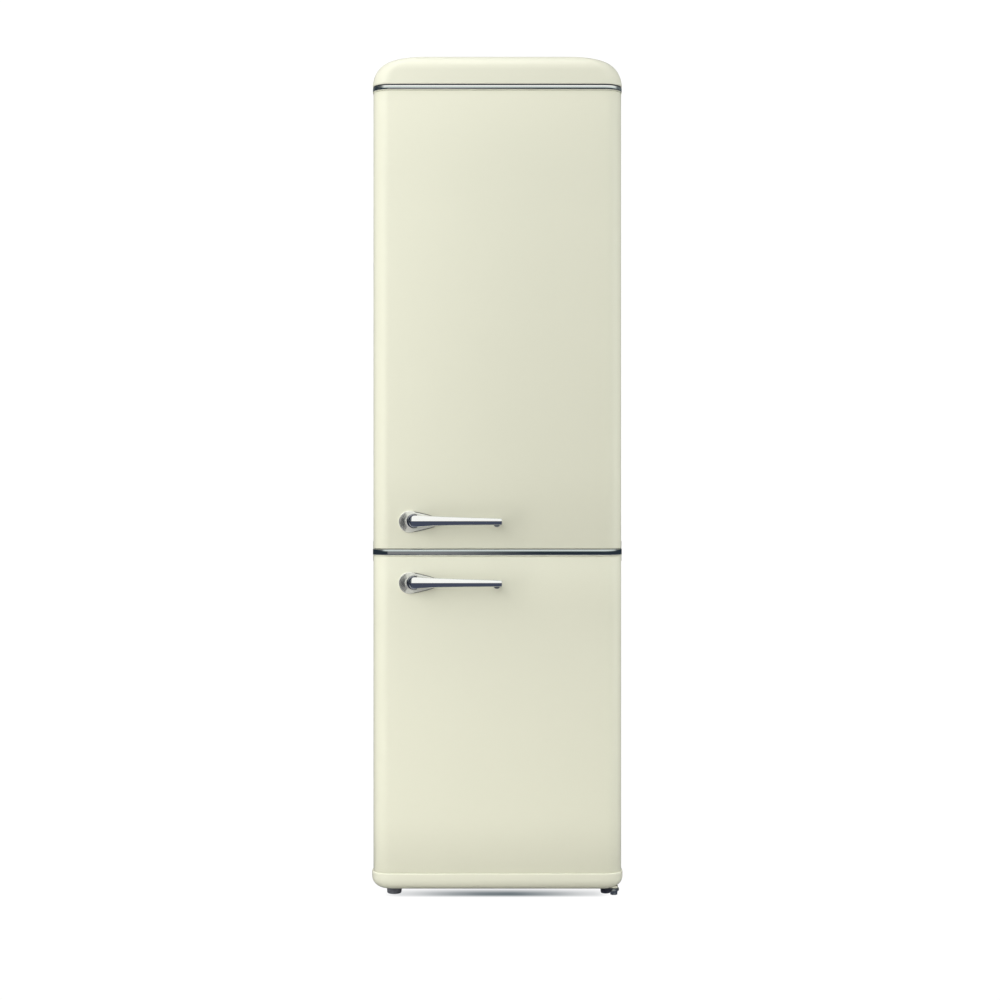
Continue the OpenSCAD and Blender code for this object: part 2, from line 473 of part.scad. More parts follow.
// ---- handles -------------------------------------------------------------
// a teardrop plate with ring grooves, its round end on the left
module handle_plate(z) {
  difference() {
    union() {
      dcyl(-handle_x, -5, 0, z, 24);
      translate([-handle_x, -y_mid, z]) rotate([90, 0, 0]) linear_extrude(4)
        polygon(concat([[3, -23.8], [24, -14.5]], arc(48, 0, 8, -70, 70, 8), [[24, 14.5], [3, 23.8]]));
    }
    for (r = [16, 18.6, 21.2]) translate([-handle_x, -4.2 - y_mid, z]) rotate([90, 0, 0]) difference() {
      cylinder(r = r + 0.6, h = 2); translate([0, 0, -1]) cylinder(r = r - 0.6, h = 5);
    }
  }
}
module handle_grip(z) union() {
  hull() {
    translate([-handle_x + 6, -handle_out + 11 - y_mid, z]) scale([1, 0.73, 1]) sphere(r = 15, $fn = 28);
    translate([-handle_x + 62, -handle_out + 9 - y_mid, z]) scale([1, 0.78, 1]) sphere(r = 11, $fn = 24);
    translate([4, -handle_out + 7.2 - y_mid, z]) sphere(r = 7.2, $fn = 20);
  }
  dcyl(-handle_x + 2, -handle_out + 12, -5, z, 12.5);
  dcyl(-1, -handle_out + 8, 0, z - 5.5, 6.2);
}
module upper_handle_plate() color([0.80, 0.81, 0.83]) handle_plate(up_handle_z);
module upper_handle_bar() color([0.80, 0.81, 0.83]) handle_grip(up_handle_z);
module lower_handle() color([0.80, 0.81, 0.83]) { handle_plate(lo_handle_z); handle_grip(lo_handle_z); }

cabinet_wrap();
back_panel();
bottom_pan();
mid_rail();
insulation_foam();
fridge_liner();
freezer_liner();
top_cover();
top_chrome_band();
mid_chrome_band();
band_carriers();
band_side_clips();
top_hinge();
middle_hinge();
bottom_hinge();
hinge_screws();
foot_brackets();
front_foot_left();
foot_screw_left();
front_foot_right();
foot_screw_right();
roller_brackets();
rear_roller_left();
rear_roller_right();
compressor_base();
compressor();
compressor_grommets();
terminal_box();
evaporation_tray();
drain_tube();
refrigerant_pipes();
filter_drier();
condenser_coil();
condenser_wires();
condenser_spacers();
freezer_evaporator();
control_box();
thermostat_dial();
lamp_cover();
glass_shelves();
shelf_trims();
crisper_drawer();
freezer_drawer_upper();
freezer_drawer_middle();
freezer_drawer_lower();
upper_door_skin();
upper_door_foam();
upper_door_liner();
upper_door_gasket();
upper_door_end_caps();
door_racks();
dairy_lid();
upper_handle_plate();
upper_handle_bar();
lower_door_skin();
lower_door_foam();
lower_door_liner();
lower_door_gasket();
lower_door_end_trims();
lower_handle();
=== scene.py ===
"""Looks of a tall retro fridge-freezer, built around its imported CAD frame.
Metres, +Z up, the doors face -Y. Depths v are in millimetres from the door front: y = (v - 275) / 1000."""
import math
import bpy
import bmesh
from mathutils import Vector, Matrix, noise


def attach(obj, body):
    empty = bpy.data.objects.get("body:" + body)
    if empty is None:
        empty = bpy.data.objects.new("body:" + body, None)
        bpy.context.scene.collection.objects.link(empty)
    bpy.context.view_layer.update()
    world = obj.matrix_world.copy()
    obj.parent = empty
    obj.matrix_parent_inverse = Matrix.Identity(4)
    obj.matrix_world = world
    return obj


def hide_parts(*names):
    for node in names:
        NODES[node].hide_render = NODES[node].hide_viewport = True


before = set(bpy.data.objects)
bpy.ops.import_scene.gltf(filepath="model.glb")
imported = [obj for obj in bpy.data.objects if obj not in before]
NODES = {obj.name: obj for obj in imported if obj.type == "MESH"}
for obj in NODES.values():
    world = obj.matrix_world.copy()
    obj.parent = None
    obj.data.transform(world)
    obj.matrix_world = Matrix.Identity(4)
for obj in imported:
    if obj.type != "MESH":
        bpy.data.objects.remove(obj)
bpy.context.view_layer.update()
scene = bpy.context.scene
YM = 275.0
CT = 1794.0          # top of the cabinet shell
LO = 57.0            # lower edge of the freezer door skin


def P(x, v, z):
    """a point given as x, depth v and z in millimetres"""
    return Vector((x / 1000.0, (v - YM) / 1000.0, z / 1000.0))


# ---------------------------------------------------------------- materials
def srgb(r, g, b):
    def f(c):
        c /= 255.0
        return c / 12.92 if c <= 0.04045 else ((c + 0.055) / 1.055) ** 2.4
    return (f(r), f(g), f(b), 1.0)


def new_mat(name):
    m = bpy.data.materials.new(name)
    m.use_nodes = True
    nt = m.node_tree
    b = nt.nodes["Principled BSDF"]
    return m, nt, b


def sock(b, name, value):
    if name in b.inputs:
        b.inputs[name].default_value = value


def tex_noise(nt, scale, detail=3.0, rough=0.5, vec=None, distortion=0.0):
    n = nt.nodes.new("ShaderNodeTexNoise")
    n.inputs["Scale"].default_value = scale
    n.inputs["Detail"].default_value = detail
    n.inputs["Roughness"].default_value = rough
    n.inputs["Distortion"].default_value = distortion
    if vec is not None:
        nt.links.new(vec, n.inputs["Vector"])
    return n


def obj_coord(nt, scale=(1, 1, 1)):
    tc = nt.nodes.new("ShaderNodeTexCoord")
    mp = nt.nodes.new("ShaderNodeMapping")
    mp.inputs["Scale"].default_value = scale
    nt.links.new(tc.outputs["Object"], mp.inputs["Vector"])
    return mp.outputs["Vector"]


def ramp(nt, fac, stops):
    r = nt.nodes.new("ShaderNodeValToRGB")
    e = r.color_ramp.elements
    while len(e) < len(stops):
        e.new(0.5)
    for k, (pos, col) in enumerate(stops):
        e[k].position = pos
        e[k].color = col if len(col) == 4 else (*col, 1.0)
    nt.links.new(fac, r.inputs["Fac"])
    return r.outputs["Color"]


def map_range(nt, fac, a, b):
    m = nt.nodes.new("ShaderNodeMapRange")
    m.inputs["To Min"].default_value = a
    m.inputs["To Max"].default_value = b
    nt.links.new(fac, m.inputs["Value"])
    return m.outputs["Result"]


def bump(nt, height, strength, distance, normal=None):
    n = nt.nodes.new("ShaderNodeBump")
    n.inputs["Strength"].default_value = strength
    n.inputs["Distance"].default_value = distance
    nt.links.new(height, n.inputs["Height"])
    if normal is not None:
        nt.links.new(normal, n.inputs["Normal"])
    return n.outputs["Normal"]


def shade(c, k):
    return (c[0] * k, c[1] * k, c[2] * k, 1.0)


def basic(name, col, rough=0.4, metal=0.0, var=0.04, var_scale=6.0, rough_var=0.06, rough_scale=25.0,
          bump_scale=400.0, bump_mm=0.02, bump_strength=0.4, stretch=(1, 1, 1), coat=0.0, coat_rough=0.05, spec=0.5, ior=1.5):
    """base colour with slow tone variation, varying roughness and a fine surface grain"""
    m, nt, b = new_mat(name)
    vec = obj_coord(nt, stretch)
    tone = tex_noise(nt, var_scale, 4.0, 0.55, vec)
    nt.links.new(ramp(nt, tone.outputs["Fac"], [(0.25, shade(col, 1 - var)), (0.75, shade(col, 1 + var))]), b.inputs["Base Color"])
    rn = tex_noise(nt, rough_scale, 3.0, 0.5, vec)
    nt.links.new(map_range(nt, rn.outputs["Fac"], max(0.0, rough - rough_var), rough + rough_var), b.inputs["Roughness"])
    gn = tex_noise(nt, bump_scale, 3.0, 0.6, vec)
    nt.links.new(bump(nt, gn.outputs["Fac"], bump_strength, bump_mm / 1000.0), b.inputs["Normal"])
    sock(b, "Metallic", metal)
    sock(b, "IOR", ior)
    sock(b, "Specular IOR Level", spec)
    sock(b, "Coat Weight", coat)
    sock(b, "Coat Roughness", coat_rough)
    return m


CREAM = (0.765, 0.765, 0.628, 1.0)
M = {}


def enamel(name, col):
    """stoved enamel on sheet steel: clear gloss over a faint orange peel"""
    m, nt, b = new_mat(name)
    vec = obj_coord(nt)
    tone = tex_noise(nt, 2.2, 3.0, 0.5, vec)
    nt.links.new(ramp(nt, tone.outputs["Fac"], [(0.3, shade(col, 0.992)), (0.7, shade(col, 1.006))]), b.inputs["Base Color"])
    rn = tex_noise(nt, 3.0, 1.0, 0.4, vec)
    nt.links.new(map_range(nt, rn.outputs["Fac"], 0.27, 0.31), b.inputs["Roughness"])
    peel = tex_noise(nt, 260.0, 2.0, 0.45, vec)
    wave = tex_noise(nt, 5.0, 2.0, 0.4, vec)
    n1 = bump(nt, wave.outputs["Fac"], 0.08, 0.0004)
    nt.links.new(bump(nt, peel.outputs["Fac"], 0.16, 0.00002, n1), b.inputs["Normal"])
    sock(b, "Coat Weight", 0.35)
    sock(b, "Coat Roughness", 0.07)
    sock(b, "Coat IOR", 1.5)
    sock(b, "Specular IOR Level", 0.45)
    return m


def chrome(name, col=(0.86, 0.87, 0.885, 1.0), rough=0.05):
    m, nt, b = new_mat(name)
    vec = obj_coord(nt)
    tone = tex_noise(nt, 9.0, 4.0, 0.6, vec)
    nt.links.new(ramp(nt, tone.outputs["Fac"], [(0.3, shade(col, 0.97)), (0.7, shade(col, 1.02))]), b.inputs["Base Color"])
    smear = tex_noise(nt, 22.0, 6.0, 0.7, vec, 0.6)
    nt.links.new(map_range(nt, smear.outputs["Fac"], rough * 0.5, rough * 1.7), b.inputs["Roughness"])
    fine = obj_coord(nt, (60.0, 60.0, 900.0))
    scr = tex_noise(nt, 6.0, 4.0, 0.7, fine)
    nt.links.new(bump(nt, scr.outputs["Fac"], 0.06, 0.00001), b.inputs["Normal"])
    sock(b, "Metallic", 1.0)
    return m


def zinc(name, col, rough, spangle=60.0, metal=1.0):
    """galvanised or zinc-plated steel with crystal spangle"""
    m, nt, b = new_mat(name)
    vec = obj_coord(nt)
    vo = nt.nodes.new("ShaderNodeTexVoronoi")
    vo.inputs["Scale"].default_value = spangle
    nt.links.new(vec, vo.inputs["Vector"])
    bw = nt.nodes.new("ShaderNodeRGBToBW")
    nt.links.new(vo.outputs["Color"], bw.inputs["Color"])
    nt.links.new(ramp(nt, bw.outputs["Val"], [(0.1, shade(col, 0.86)), (0.9, shade(col, 1.1))]), b.inputs["Base Color"])
    nt.links.new(map_range(nt, bw.outputs["Val"], rough - 0.08, rough + 0.1), b.inputs["Roughness"])
    fine = obj_coord(nt, (30.0, 30.0, 400.0))
    scr = tex_noise(nt, 8.0, 4.0, 0.7, fine)
    nt.links.new(bump(nt, scr.outputs["Fac"], 0.15, 0.00002), b.inputs["Normal"])
    sock(b, "Metallic", metal)
    return m


def clear(name, col, alpha, rough):
    m, nt, b = new_mat(name)
    vec = obj_coord(nt)
    tone = tex_noise(nt, 8.0, 3.0, 0.5, vec)
    nt.links.new(ramp(nt, tone.outputs["Fac"], [(0.3, shade(col, 0.97)), (0.7, shade(col, 1.0))]), b.inputs["Base Color"])
    rn = tex_noise(nt, 40.0, 4.0, 0.6, vec)
    nt.links.new(map_range(nt, rn.outputs["Fac"], rough * 0.7, rough * 1.4 + 0.01), b.inputs["Roughness"])
    gn = tex_noise(nt, 30.0, 2.0, 0.5, vec)
    nt.links.new(bump(nt, gn.outputs["Fac"], 0.12, 0.0002), b.inputs["Normal"])
    sock(b, "Alpha", alpha)
    sock(b, "IOR", 1.49)
    sock(b, "Coat Weight", 0.3)
    sock(b, "Coat Roughness", 0.04)
    return m


M["cream_enamel"] = enamel("cream_enamel_m", CREAM)
M["cream_plastic"] = basic("cream_plastic_m", (0.78, 0.78, 0.648, 1.0), 0.30, 0, 0.008, 3.0, 0.05, 12.0, 520.0, 0.012, 0.25, coat=0.35, coat_rough=0.08)
M["chrome_trim"] = chrome("chrome_m")
M["chrome_satin"] = chrome("chrome_satin_m", (0.93, 0.93, 0.87, 1.0), 0.22)
M["chrome_satin"].node_tree.nodes["Principled BSDF"].inputs["Metallic"].default_value = 0.35
# a darker copy of chrome for the handle boss: painted dark reflection
M["chrome_dark"] = chrome("chrome_dark_m", (0.40, 0.41, 0.46, 1.0), 0.16)
# lighter copy of the foot grey for the left foot: painted light
M["foot_light"] = basic("foot_light_m", (0.165, 0.172, 0.200, 1), 0.40, 0, 0.18, 30.0, 0.08, 70.0, 800.0, 0.06, 0.5)
M["zinc"] = zinc("zinc_m", (0.62, 0.64, 0.66, 1), 0.34, 220.0)
M["galvanised"] = zinc("galvanised_m", (0.60, 0.615, 0.62, 1), 0.46, 70.0, 0.35)
M["foam"] = basic("foam_m", (0.78, 0.66, 0.36, 1), 0.9, 0, 0.12, 18.0, 0.05, 60.0, 180.0, 0.8, 0.8)
M["liner_white"] = basic("liner_white_m", (0.83, 0.84, 0.83, 1), 0.30, 0, 0.008, 2.0, 0.02, 3.0, 420.0, 0.008, 0.2, coat=0.2, coat_rough=0.12)
M["dark_plastic"] = basic("dark_plastic_m", (0.035, 0.038, 0.045, 1), 0.46, 0, 0.2, 20.0, 0.08, 60.0, 900.0, 0.05, 0.5)
# darker copy of the foot grey for the right foot: painted shade
M["foot_grey"] = basic("foot_painted_shaded_m", (0.050, 0.054, 0.078, 1), 0.44, 0, 0.22, 30.0, 0.08, 70.0, 800.0, 0.06, 0.5)
M["black_enamel"] = basic("black_enamel_m", (0.012, 0.012, 0.013, 1), 0.38, 0, 0.2, 14.0, 0.1, 40.0, 500.0, 0.05, 0.5, coat=0.3, coat_rough=0.15)
M["grommet_rubber"] = basic("grommet_rubber_m", (0.018, 0.018, 0.018, 1), 0.75, 0, 0.25, 40.0, 0.08, 80.0, 900.0, 0.08, 0.6)
M["tray_plastic"] = basic("tray_plastic_m", (0.58, 0.59, 0.60, 1), 0.45, 0, 0.05, 12.0, 0.06, 30.0, 600.0, 0.05, 0.5)
M["copper_pipe"] = basic("copper_pipe_m", (0.80, 0.40, 0.24, 1), 0.33, 1.0, 0.25, 30.0, 0.12, 60.0, 700.0, 0.03, 0.4)
M["evaporator_white"] = basic("evaporator_white_m", (0.80, 0.82, 0.84, 1), 0.4, 0, 0.05, 12.0, 0.08, 30.0, 400.0, 0.05, 0.4)
M["dial_grey"] = basic("dial_grey_m", (0.42, 0.46, 0.52, 1), 0.35, 0, 0.05, 20.0, 0.05, 40.0, 700.0, 0.03, 0.4)
M["trim_white"] = basic("trim_white_m", (0.86, 0.87, 0.87, 1), 0.3, 0, 0.015, 6.0, 0.05, 20.0, 600.0, 0.02, 0.4)
M["gasket_rubber"] = basic("gasket_rubber_m", (0.52, 0.53, 0.53, 1), 0.55, 0, 0.05, 14.0, 0.08, 40.0, 900.0, 0.04, 0.5)
M["lamp_diffuser"] = clear("lamp_diffuser_m", (0.93, 0.94, 0.94, 1), 0.75, 0.3)
M["shelf_glass"] = clear("shelf_glass_m", (0.70, 0.86, 0.80, 1), 0.26, 0.02)
M["clear_plastic"] = clear("clear_plastic_m", (0.80, 0.89, 0.92, 1), 0.36, 0.06)
M["frosted_plastic"] = clear("frosted_plastic_m", (0.84, 0.90, 0.93, 1), 0.6, 0.22)
M["clip_grey"] = basic("clip_grey_m", (0.55, 0.55, 0.52, 1), 0.4, 0, 0.05, 20.0, 0.06, 40.0, 700.0, 0.03, 0.4)
M["steel_inside"] = basic("steel_inside_m", (0.30, 0.31, 0.32, 1), 0.45, 0.6, 0.1, 20.0, 0.06, 40.0, 700.0, 0.03, 0.4)


# ---------------------------------------------------------------- mesh tools
def make(name, verts, faces, body, slot, replaces=(), smooth=True, mat=None, angle=32.0, flip=None):
    me = bpy.data.meshes.new(name)
    me.from_pydata([tuple(v) for v in verts], [], faces)
    bm = bmesh.new()
    bm.from_mesh(me)
    bmesh.ops.remove_doubles(bm, verts=bm.verts, dist=1e-6)
    bmesh.ops.dissolve_degenerate(bm, dist=1e-7, edges=bm.edges)
    bmesh.ops.recalc_face_normals(bm, faces=bm.faces)
    bm.to_mesh(me)
    bm.free()
    ob = bpy.data.objects.new(name, me)
    scene.collection.objects.link(ob)
    me.materials.append(mat or M[slot])
    if smooth:
        me.shade_smooth()
        if angle:
            ob.data.set_sharp_from_angle(angle=math.radians(angle))
    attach(ob, body)
    if replaces:
        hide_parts(*replaces)
    return ob


def arc_pts(cx, cy, r, a0, a1, n, ry=None):
    ry = r if ry is None else ry
    return [(cx + r * math.cos(math.radians(a0 + (a1 - a0) * i / n)), cy + ry * math.sin(math.radians(a0 + (a1 - a0) * i / n))) for i in range(n + 1)]


def plan(w, v0, v1, r, rb=0.0, n=16, nb=6):
    """closed outline seen from above: front corners r, rear corners rb; same count of points for any size"""
    r = max(r, 0.02)
    rb = max(rb, 0.02)
    h = w / 2.0
    pts = arc_pts(-h + r, v0 + r, r, 180, 270, n) + arc_pts(h - r, v0 + r, r, 270, 360, n)
    pts += arc_pts(h - rb, v1 - rb, rb, 0, 90, nb) + arc_pts(-h + rb, v1 - rb, rb, 90, 180, nb)
    return pts


def rrect(x0, y0, x1, y1, r, n=8):
    r = max(r, 0.02)
    return (arc_pts(x0 + r, y0 + r, r, 180, 270, n) + arc_pts(x1 - r, y0 + r, r, 270, 360, n)
            + arc_pts(x1 - r, y1 - r, r, 0, 90, n) + arc_pts(x0 + r, y1 - r, r, 90, 180, n))


def loft(rings, cap0=True, cap1=True, loop=False):
    """rings of the same count joined into a skin; returns verts, faces"""
    n = len(rings[0])
    verts = [v for ring in rings for v in ring]
    faces = []
    m = len(rings)
    for i in range(m if loop else m - 1):
        a, b = i * n, ((i + 1) % m) * n
        for k in range(n):
            faces.append((a + k, a + (k + 1) % n, b + (k + 1) % n, b + k))
    if not loop:
        if cap0:
            faces.append(tuple(range(n)))
        if cap1:
            faces.append(tuple((m - 1) * n + k for k in range(n)))
    return verts, faces


def join(parts):
    verts, faces = [], []
    for v, f in parts:
        o = len(verts)
        verts += list(v)
        faces += [tuple(o + k for k in q) for q in f]
    return verts, faces


def ring_z(pts, z):
    return [P(x, v, z) for x, v in pts]


def ring_v(pts, v):
    return [P(x, v, z) for x, z in pts]


def lathe(profile, centre, axis="z", n=48, cap=True):
    """profile of (radius, height) turned about an axis through centre (x, v, z)"""
    rings = []
    cx, cv, cz = centre
    for r, h in profile:
        r = max(r, 0.001)
        ring = []
        for k in range(n):
            a = 2 * math.pi * k / n
            c, s = r * math.cos(a), r * math.sin(a)
            if axis == "z":
                ring.append(P(cx + c, cv + s, cz + h))
            elif axis == "v":
                ring.append(P(cx + c, cv + h, cz + s))
            else:
                ring.append(P(cx + h, cv + c, cz + s))
        rings.append(ring)
    return loft(rings, cap, cap)


def rounded_box(x0, x1, v0, v1, z0, z1, r=1.5, n=3):
    """a box with rounded edges all over"""
    rings = []
    w, d = (x1 - x0), (v1 - v0)
    r = min(r, w / 2.01, d / 2.01, (z1 - z0) / 2.01)
    for a, zz in [(90 * i / n, 0) for i in range(n + 1)]:
        t = math.radians(a)
        ins, up = r * (1 - math.sin(t)), r * (1 - math.cos(t))
        rings.append(ring_z(rrect(x0 + ins, v0 + ins, x1 - ins, v1 - ins, max(r - ins, 0.02) , n), z0 + up))
    for a in [90 - 90 * i / n for i in range(n + 1)]:
        t = math.radians(a)
        ins, up = r * (1 - math.sin(t)), r * (1 - math.cos(t))
        rings.append(ring_z(rrect(x0 + ins, v0 + ins, x1 - ins, v1 - ins, max(r - ins, 0.02), n), z1 - up))
    return loft(rings)


def sweep(path, profile, closed=True):
    """path: points (Vector) with outward directions; profile: (out, up) in mm; up is the second frame axis"""
    rings = []
    for pos, out, up in path:
        rings.append([pos + out * (a / 1000.0) + up * (b / 1000.0) for a, b in profile])
    n = len(profile)
    verts = [v for r in rings for v in r]
    faces = []
    m = len(rings)
    for i in range(m if closed else m - 1):
        a, b = i * n, ((i + 1) % m) * n
        for k in range(n):
            faces.append((a + k, a + (k + 1) % n, b + (k + 1) % n, b + k))
    if not closed:
        faces.append(tuple(range(n)))
        faces.append(tuple((m - 1) * n + k for k in range(n)))
    return verts, faces


def path_plan(pts, z, closed=False):
    """frames along a plan polyline: out points to the left-hand outside, up is +Z"""
    res = []
    n = len(pts)
    for i, (x, v) in enumerate(pts):
        a = pts[(i - 1) % n] if (closed or i > 0) else pts[i]
        b = pts[(i + 1) % n] if (closed or i < n - 1) else pts[i]
        t = Vector((b[0] - a[0], b[1] - a[1], 0)).normalized()
        out = Vector((t.y, -t.x, 0))
        res.append((P(x, v, z), out, Vector((0, 0, 1))))
    return res


def soften(node, width=0.8, seg=2, slot=None, angle=35, mat=None):
    """a CAD node keeps its shape: its edges are eased and it gets the finished material"""
    ob = NODES[node]
    m = mat or M[slot]
    ob.data.materials.clear()
    ob.data.materials.append(m)
    w = ob.modifiers.new("weld", "WELD")
    w.merge_threshold = 2e-6
    if width:
        b = ob.modifiers.new("ease", "BEVEL")
        b.width = width / 1000.0
        b.segments = seg
        b.limit_method = "ANGLE"
        b.angle_limit = math.radians(angle)
        b.harden_normals = False
        b.use_clamp_overlap = True
    s = ob.modifiers.new("wn", "WEIGHTED_NORMAL")
    s.keep_sharp = True
    ob.data.shade_smooth()
    return ob


# ---------------------------------------------------------------- door shells
def door_shell(name, body, z0, z1, node, r_edge=1.6, r_low=1.2):
    """folded steel skin: the edges turn in with a radius, a lip frames each open end"""
    W, D, R = 550.0, 57.0, 40.0
    rings = []

    def ring(ins, z):
        return ring_z(plan(W - 2 * ins, ins, D - ins * 0.3, R - ins, max(2.5 - ins, 0.3)), z)
    # inner lip at the bottom, rounded edge, wall, rounded edge, inner lip at the top
    rings.append(ring(14.0, z0 + 1.6))
    rings.append(ring(4.6, z0 + 1.5))
    rings.append(ring(4.2, z0 + 0.6))
    for a in range(0, 91, 15):
        t = math.radians(a)
        rings.append(ring(r_low * (1 - math.sin(t)) + (1.0 - a / 90.0) * 0.4, z0 + r_low * (1 - math.cos(t))))
    for k in range(1, 6):
        rings.append(ring(0.0, z0 + r_low + (z1 - z0 - r_edge - r_low) * k / 6))
    for a in range(90, -1, -15):
        t = math.radians(a)
        rings.append(ring(r_edge * (1 - math.sin(t)) + (1.0 - a / 90.0) * 0.4, z1 - r_edge * (1 - math.cos(t))))
    rings.append(ring(4.2, z1 - 0.6))
    rings.append(ring(4.6, z1 - 1.5))
    rings.append(ring(14.0, z1 - 1.6))
    v, f = loft(rings)
    return make(name, v, f, body, "cream_enamel", (node,), angle=50)


def cap_plate(z0, z1, up, ins=5.2):
    """moulded end cap that sits in the skin's open end, with a raised hinge boss"""
    base = z0 if not up else z1
    s = 1 if up else -1
    parts = []
    outer = []
    for k, (i, h) in enumerate([(0.0, -10.0), (0.0, -1.9), (0.5, -1.3), (1.2, -1.1)]):
        outer.append(ring_z(plan(550 - 2 * (ins + i), ins + i, 57 - 3.0 - i, 40 - ins - i, 2.0), base + s * h))
    # recessed field inside a raised rim
    outer.append(ring_z(plan(550 - 2 * (ins + 5), ins + 5, 50, 34 - ins, 2.0), base - s * 1.1))
    outer.append(ring_z(plan(550 - 2 * (ins + 6), ins + 6, 49, 33 - ins, 2.0), base - s * 2.6))
    parts.append(loft(outer))
    # boss round the pin
    parts.append(lathe([(4.2, -9.0), (4.2, -0.4), (4.6, 0.0), (8.4, 0.0), (9.0, -0.5), (9.6, -3.0)] if up else [(4.2, 9.0), (4.2, 0.4), (4.6, 0.0), (8.4, 0.0), (9.0, 0.5), (9.6, 3.0)],
                       (258, 25, base), "z", 36, cap=False))
    # stiffening ribs
    for x in (-180, -90, 0, 90, 180):
        parts.append(rounded_box(x - 1.0, x + 1.0, 13, 48, base - s * 2.8 if not up else base - 2.8, base + 1.4 if not up else base - 1.4, 0.4, 2) if up else
                     rounded_box(x - 1.0, x + 1.0, 13, 48, base + 1.4, base + 2.8, 0.4, 2))
    return join(parts)


up_shell = door_shell("upper_door_shell", "upper_door", 771.0, 1780.5, "upper_door_skin")
lo_shell = door_shell("lower_door_shell", "lower_door", LO, 755.0, "lower_door_skin", 1.6, 0.8)
v, f = join([cap_plate(771.0, 1780.5, False), cap_plate(771.0, 1780.5, True)])
make("upper_door_caps", v, f, "upper_door", "cream_plastic", ("upper_door_end_caps",))


def door_panel(name, body, z0, z1, hx, v1, m, dam, node, floor_v=62.0, racks=()):
    """vacuum-formed inner panel: flange, rounded dam all round, recess inside"""
    rings = []

    def ring(x, zlo, zhi, r, v):
        return ring_v(rrect(-x, zlo, x, zhi, r, 8), v)
    rings.append(ring(262, z0 + 8, z1 - 8, 8, 57.2))
    rings.append(ring(264, z0 + 6, z1 - 6, 9, 57.6))
    rings.append(ring(264, z0 + 6, z1 - 6, 9, 58.9))
    rings.append(ring(263, z0 + 7, z1 - 7, 8, 59.4))
    # up the outside of the dam
    for a in range(0, 91, 15):
        t = math.radians(a)
        q = 5 * (1 - math.sin(t))
        rings.append(ring(hx + q, z0 + m - q, z1 - m + q, 22 + q, 59.4 + 5 * (1 - math.cos(t))))
    for a in range(0, 91, 15):
        t = math.radians(a)
        q = 7 * (1 - math.cos(t))
        rings.append(ring(hx - 1.5 - q, z0 + m + 1.5 + q, z1 - m - 1.5 - q, 21 - q * 0.4, v1 - 7 * (1 - math.sin(t))))
    # over the crest and down the inside
    for a in range(90, -1, -15):
        t = math.radians(a)
        q = dam - 1.5 - 6 * (1 - math.cos(t))
        rings.append(ring(hx - q, z0 + m + q, z1 - m - q, 14, v1 - 6 * (1 - math.sin(t))))
    for a in range(0, 91, 15):
        t = math.radians(a)
        q = dam + 6 * (1 - math.cos(t))
        rings.append(ring(hx - q, z0 + m + q, z1 - m - q, 12, floor_v + 6 * (1 - math.sin(t))))
    parts = [loft(rings)]
    for z in racks:
        for s in (-1, 1):
            x0, x1 = (181.0, 195.5) if s > 0 else (-195.5, -181.0)
            parts.append(rounded_box(x0, x1, 62.2, 93.0, z - 6.0, z - 0.1, 2.0, 3))
    # pressed ribs across the field
    n = 5 if z1 - z0 > 900 else 3
    if n == 3:
        for k in range(n):
            z = z0 + m + dam + (z1 - z0 - 2 * m - 2 * dam) * (k + 1) / (n + 1)
            parts.append(rounded_box(-150, 150, 61.0, 63.4, z - 9, z + 9, 1.2, 2))
    v, f = join(parts)
    return make(name, v, f, body, "liner_white", (node,), angle=40)


RACK_Z = [1530, 1370, 1150, 850]
RACK_H = [84, 78, 88, 120]
door_panel("upper_door_panel", "upper_door", 771.0, 1780.5, 215, 98, 44, 20, "upper_door_liner", racks=RACK_Z)
door_panel("lower_door_panel", "lower_door", LO, 755.0, 207, 84, 48, 18, "lower_door_liner")


def gasket(name, body, z0, z1, node):
    """extruded magnetic seal: foot in its groove, bellows, magnet tube that closes on the flange"""
    prof = [(-17.0, 59.6), (-3.0, 59.6), (-3.0, 60.6), (-5.2, 61.2), (-5.4, 62.0), (-3.0, 62.6), (-2.2, 63.2), (-2.2, 66.6), (-3.0, 67.3),
            (-14.0, 67.3), (-15.0, 66.4), (-14.2, 65.4), (-9.0, 64.9), (-8.4, 64.0), (-9.4, 63.2), (-14.6, 62.6), (-16.6, 61.2), (-17.6, 60.4)]
    verts, faces = [], []
    corners = []
    zc0, zc1 = z0, z1
    pts = rrect(-258, zc0, 258, zc1, 5.0, 5)
    cx, cz = 0, (zc0 + zc1) / 2
    n = len(pts)
    rings = []
    for i in range(n):
        a, b = pts[(i - 1) % n], pts[(i + 1) % n]
        t = Vector((b[0] - a[0], b[1] - a[1])).normalized()
        out = Vector((t.y, -t.x))
        ring = []
        for o, vv in prof:
            # the corner fan would fold on itself, so the inside follows a mitre
            x = pts[i][0] + out.x * (o if o > -4.5 else o)
            z = pts[i][1] + out.y * (o if o > -4.5 else o)
            ring.append((x, vv, z, o))
        rings.append(ring)
    # mitred inside: clamp every point to the straight run's rectangle
    out_rings = []
    for ring in rings:
        rr = []
        for x, vv, z, o in ring:
            lx, lz0, lz1 = 258 + o, z0 - o, z1 + o
            if o < -5.0:
                x = max(-lx, min(lx, x if abs(x) > lx - 6 else math.copysign(min(abs(x), lx), x)))
                z = max(lz0, min(lz1, z))
            rr.append(P(x, vv, z))
        out_rings.append(rr)
    v, f = loft(out_rings, False, False, loop=True)
    return make(name, v, f, body, "gasket_rubber", (node,), angle=55)


gasket("upper_door_seal", "upper_door", 776.0, 1777.0, "upper_door_gasket")
gasket("lower_door_seal", "lower_door", 69.0, 752.0, "lower_door_gasket")


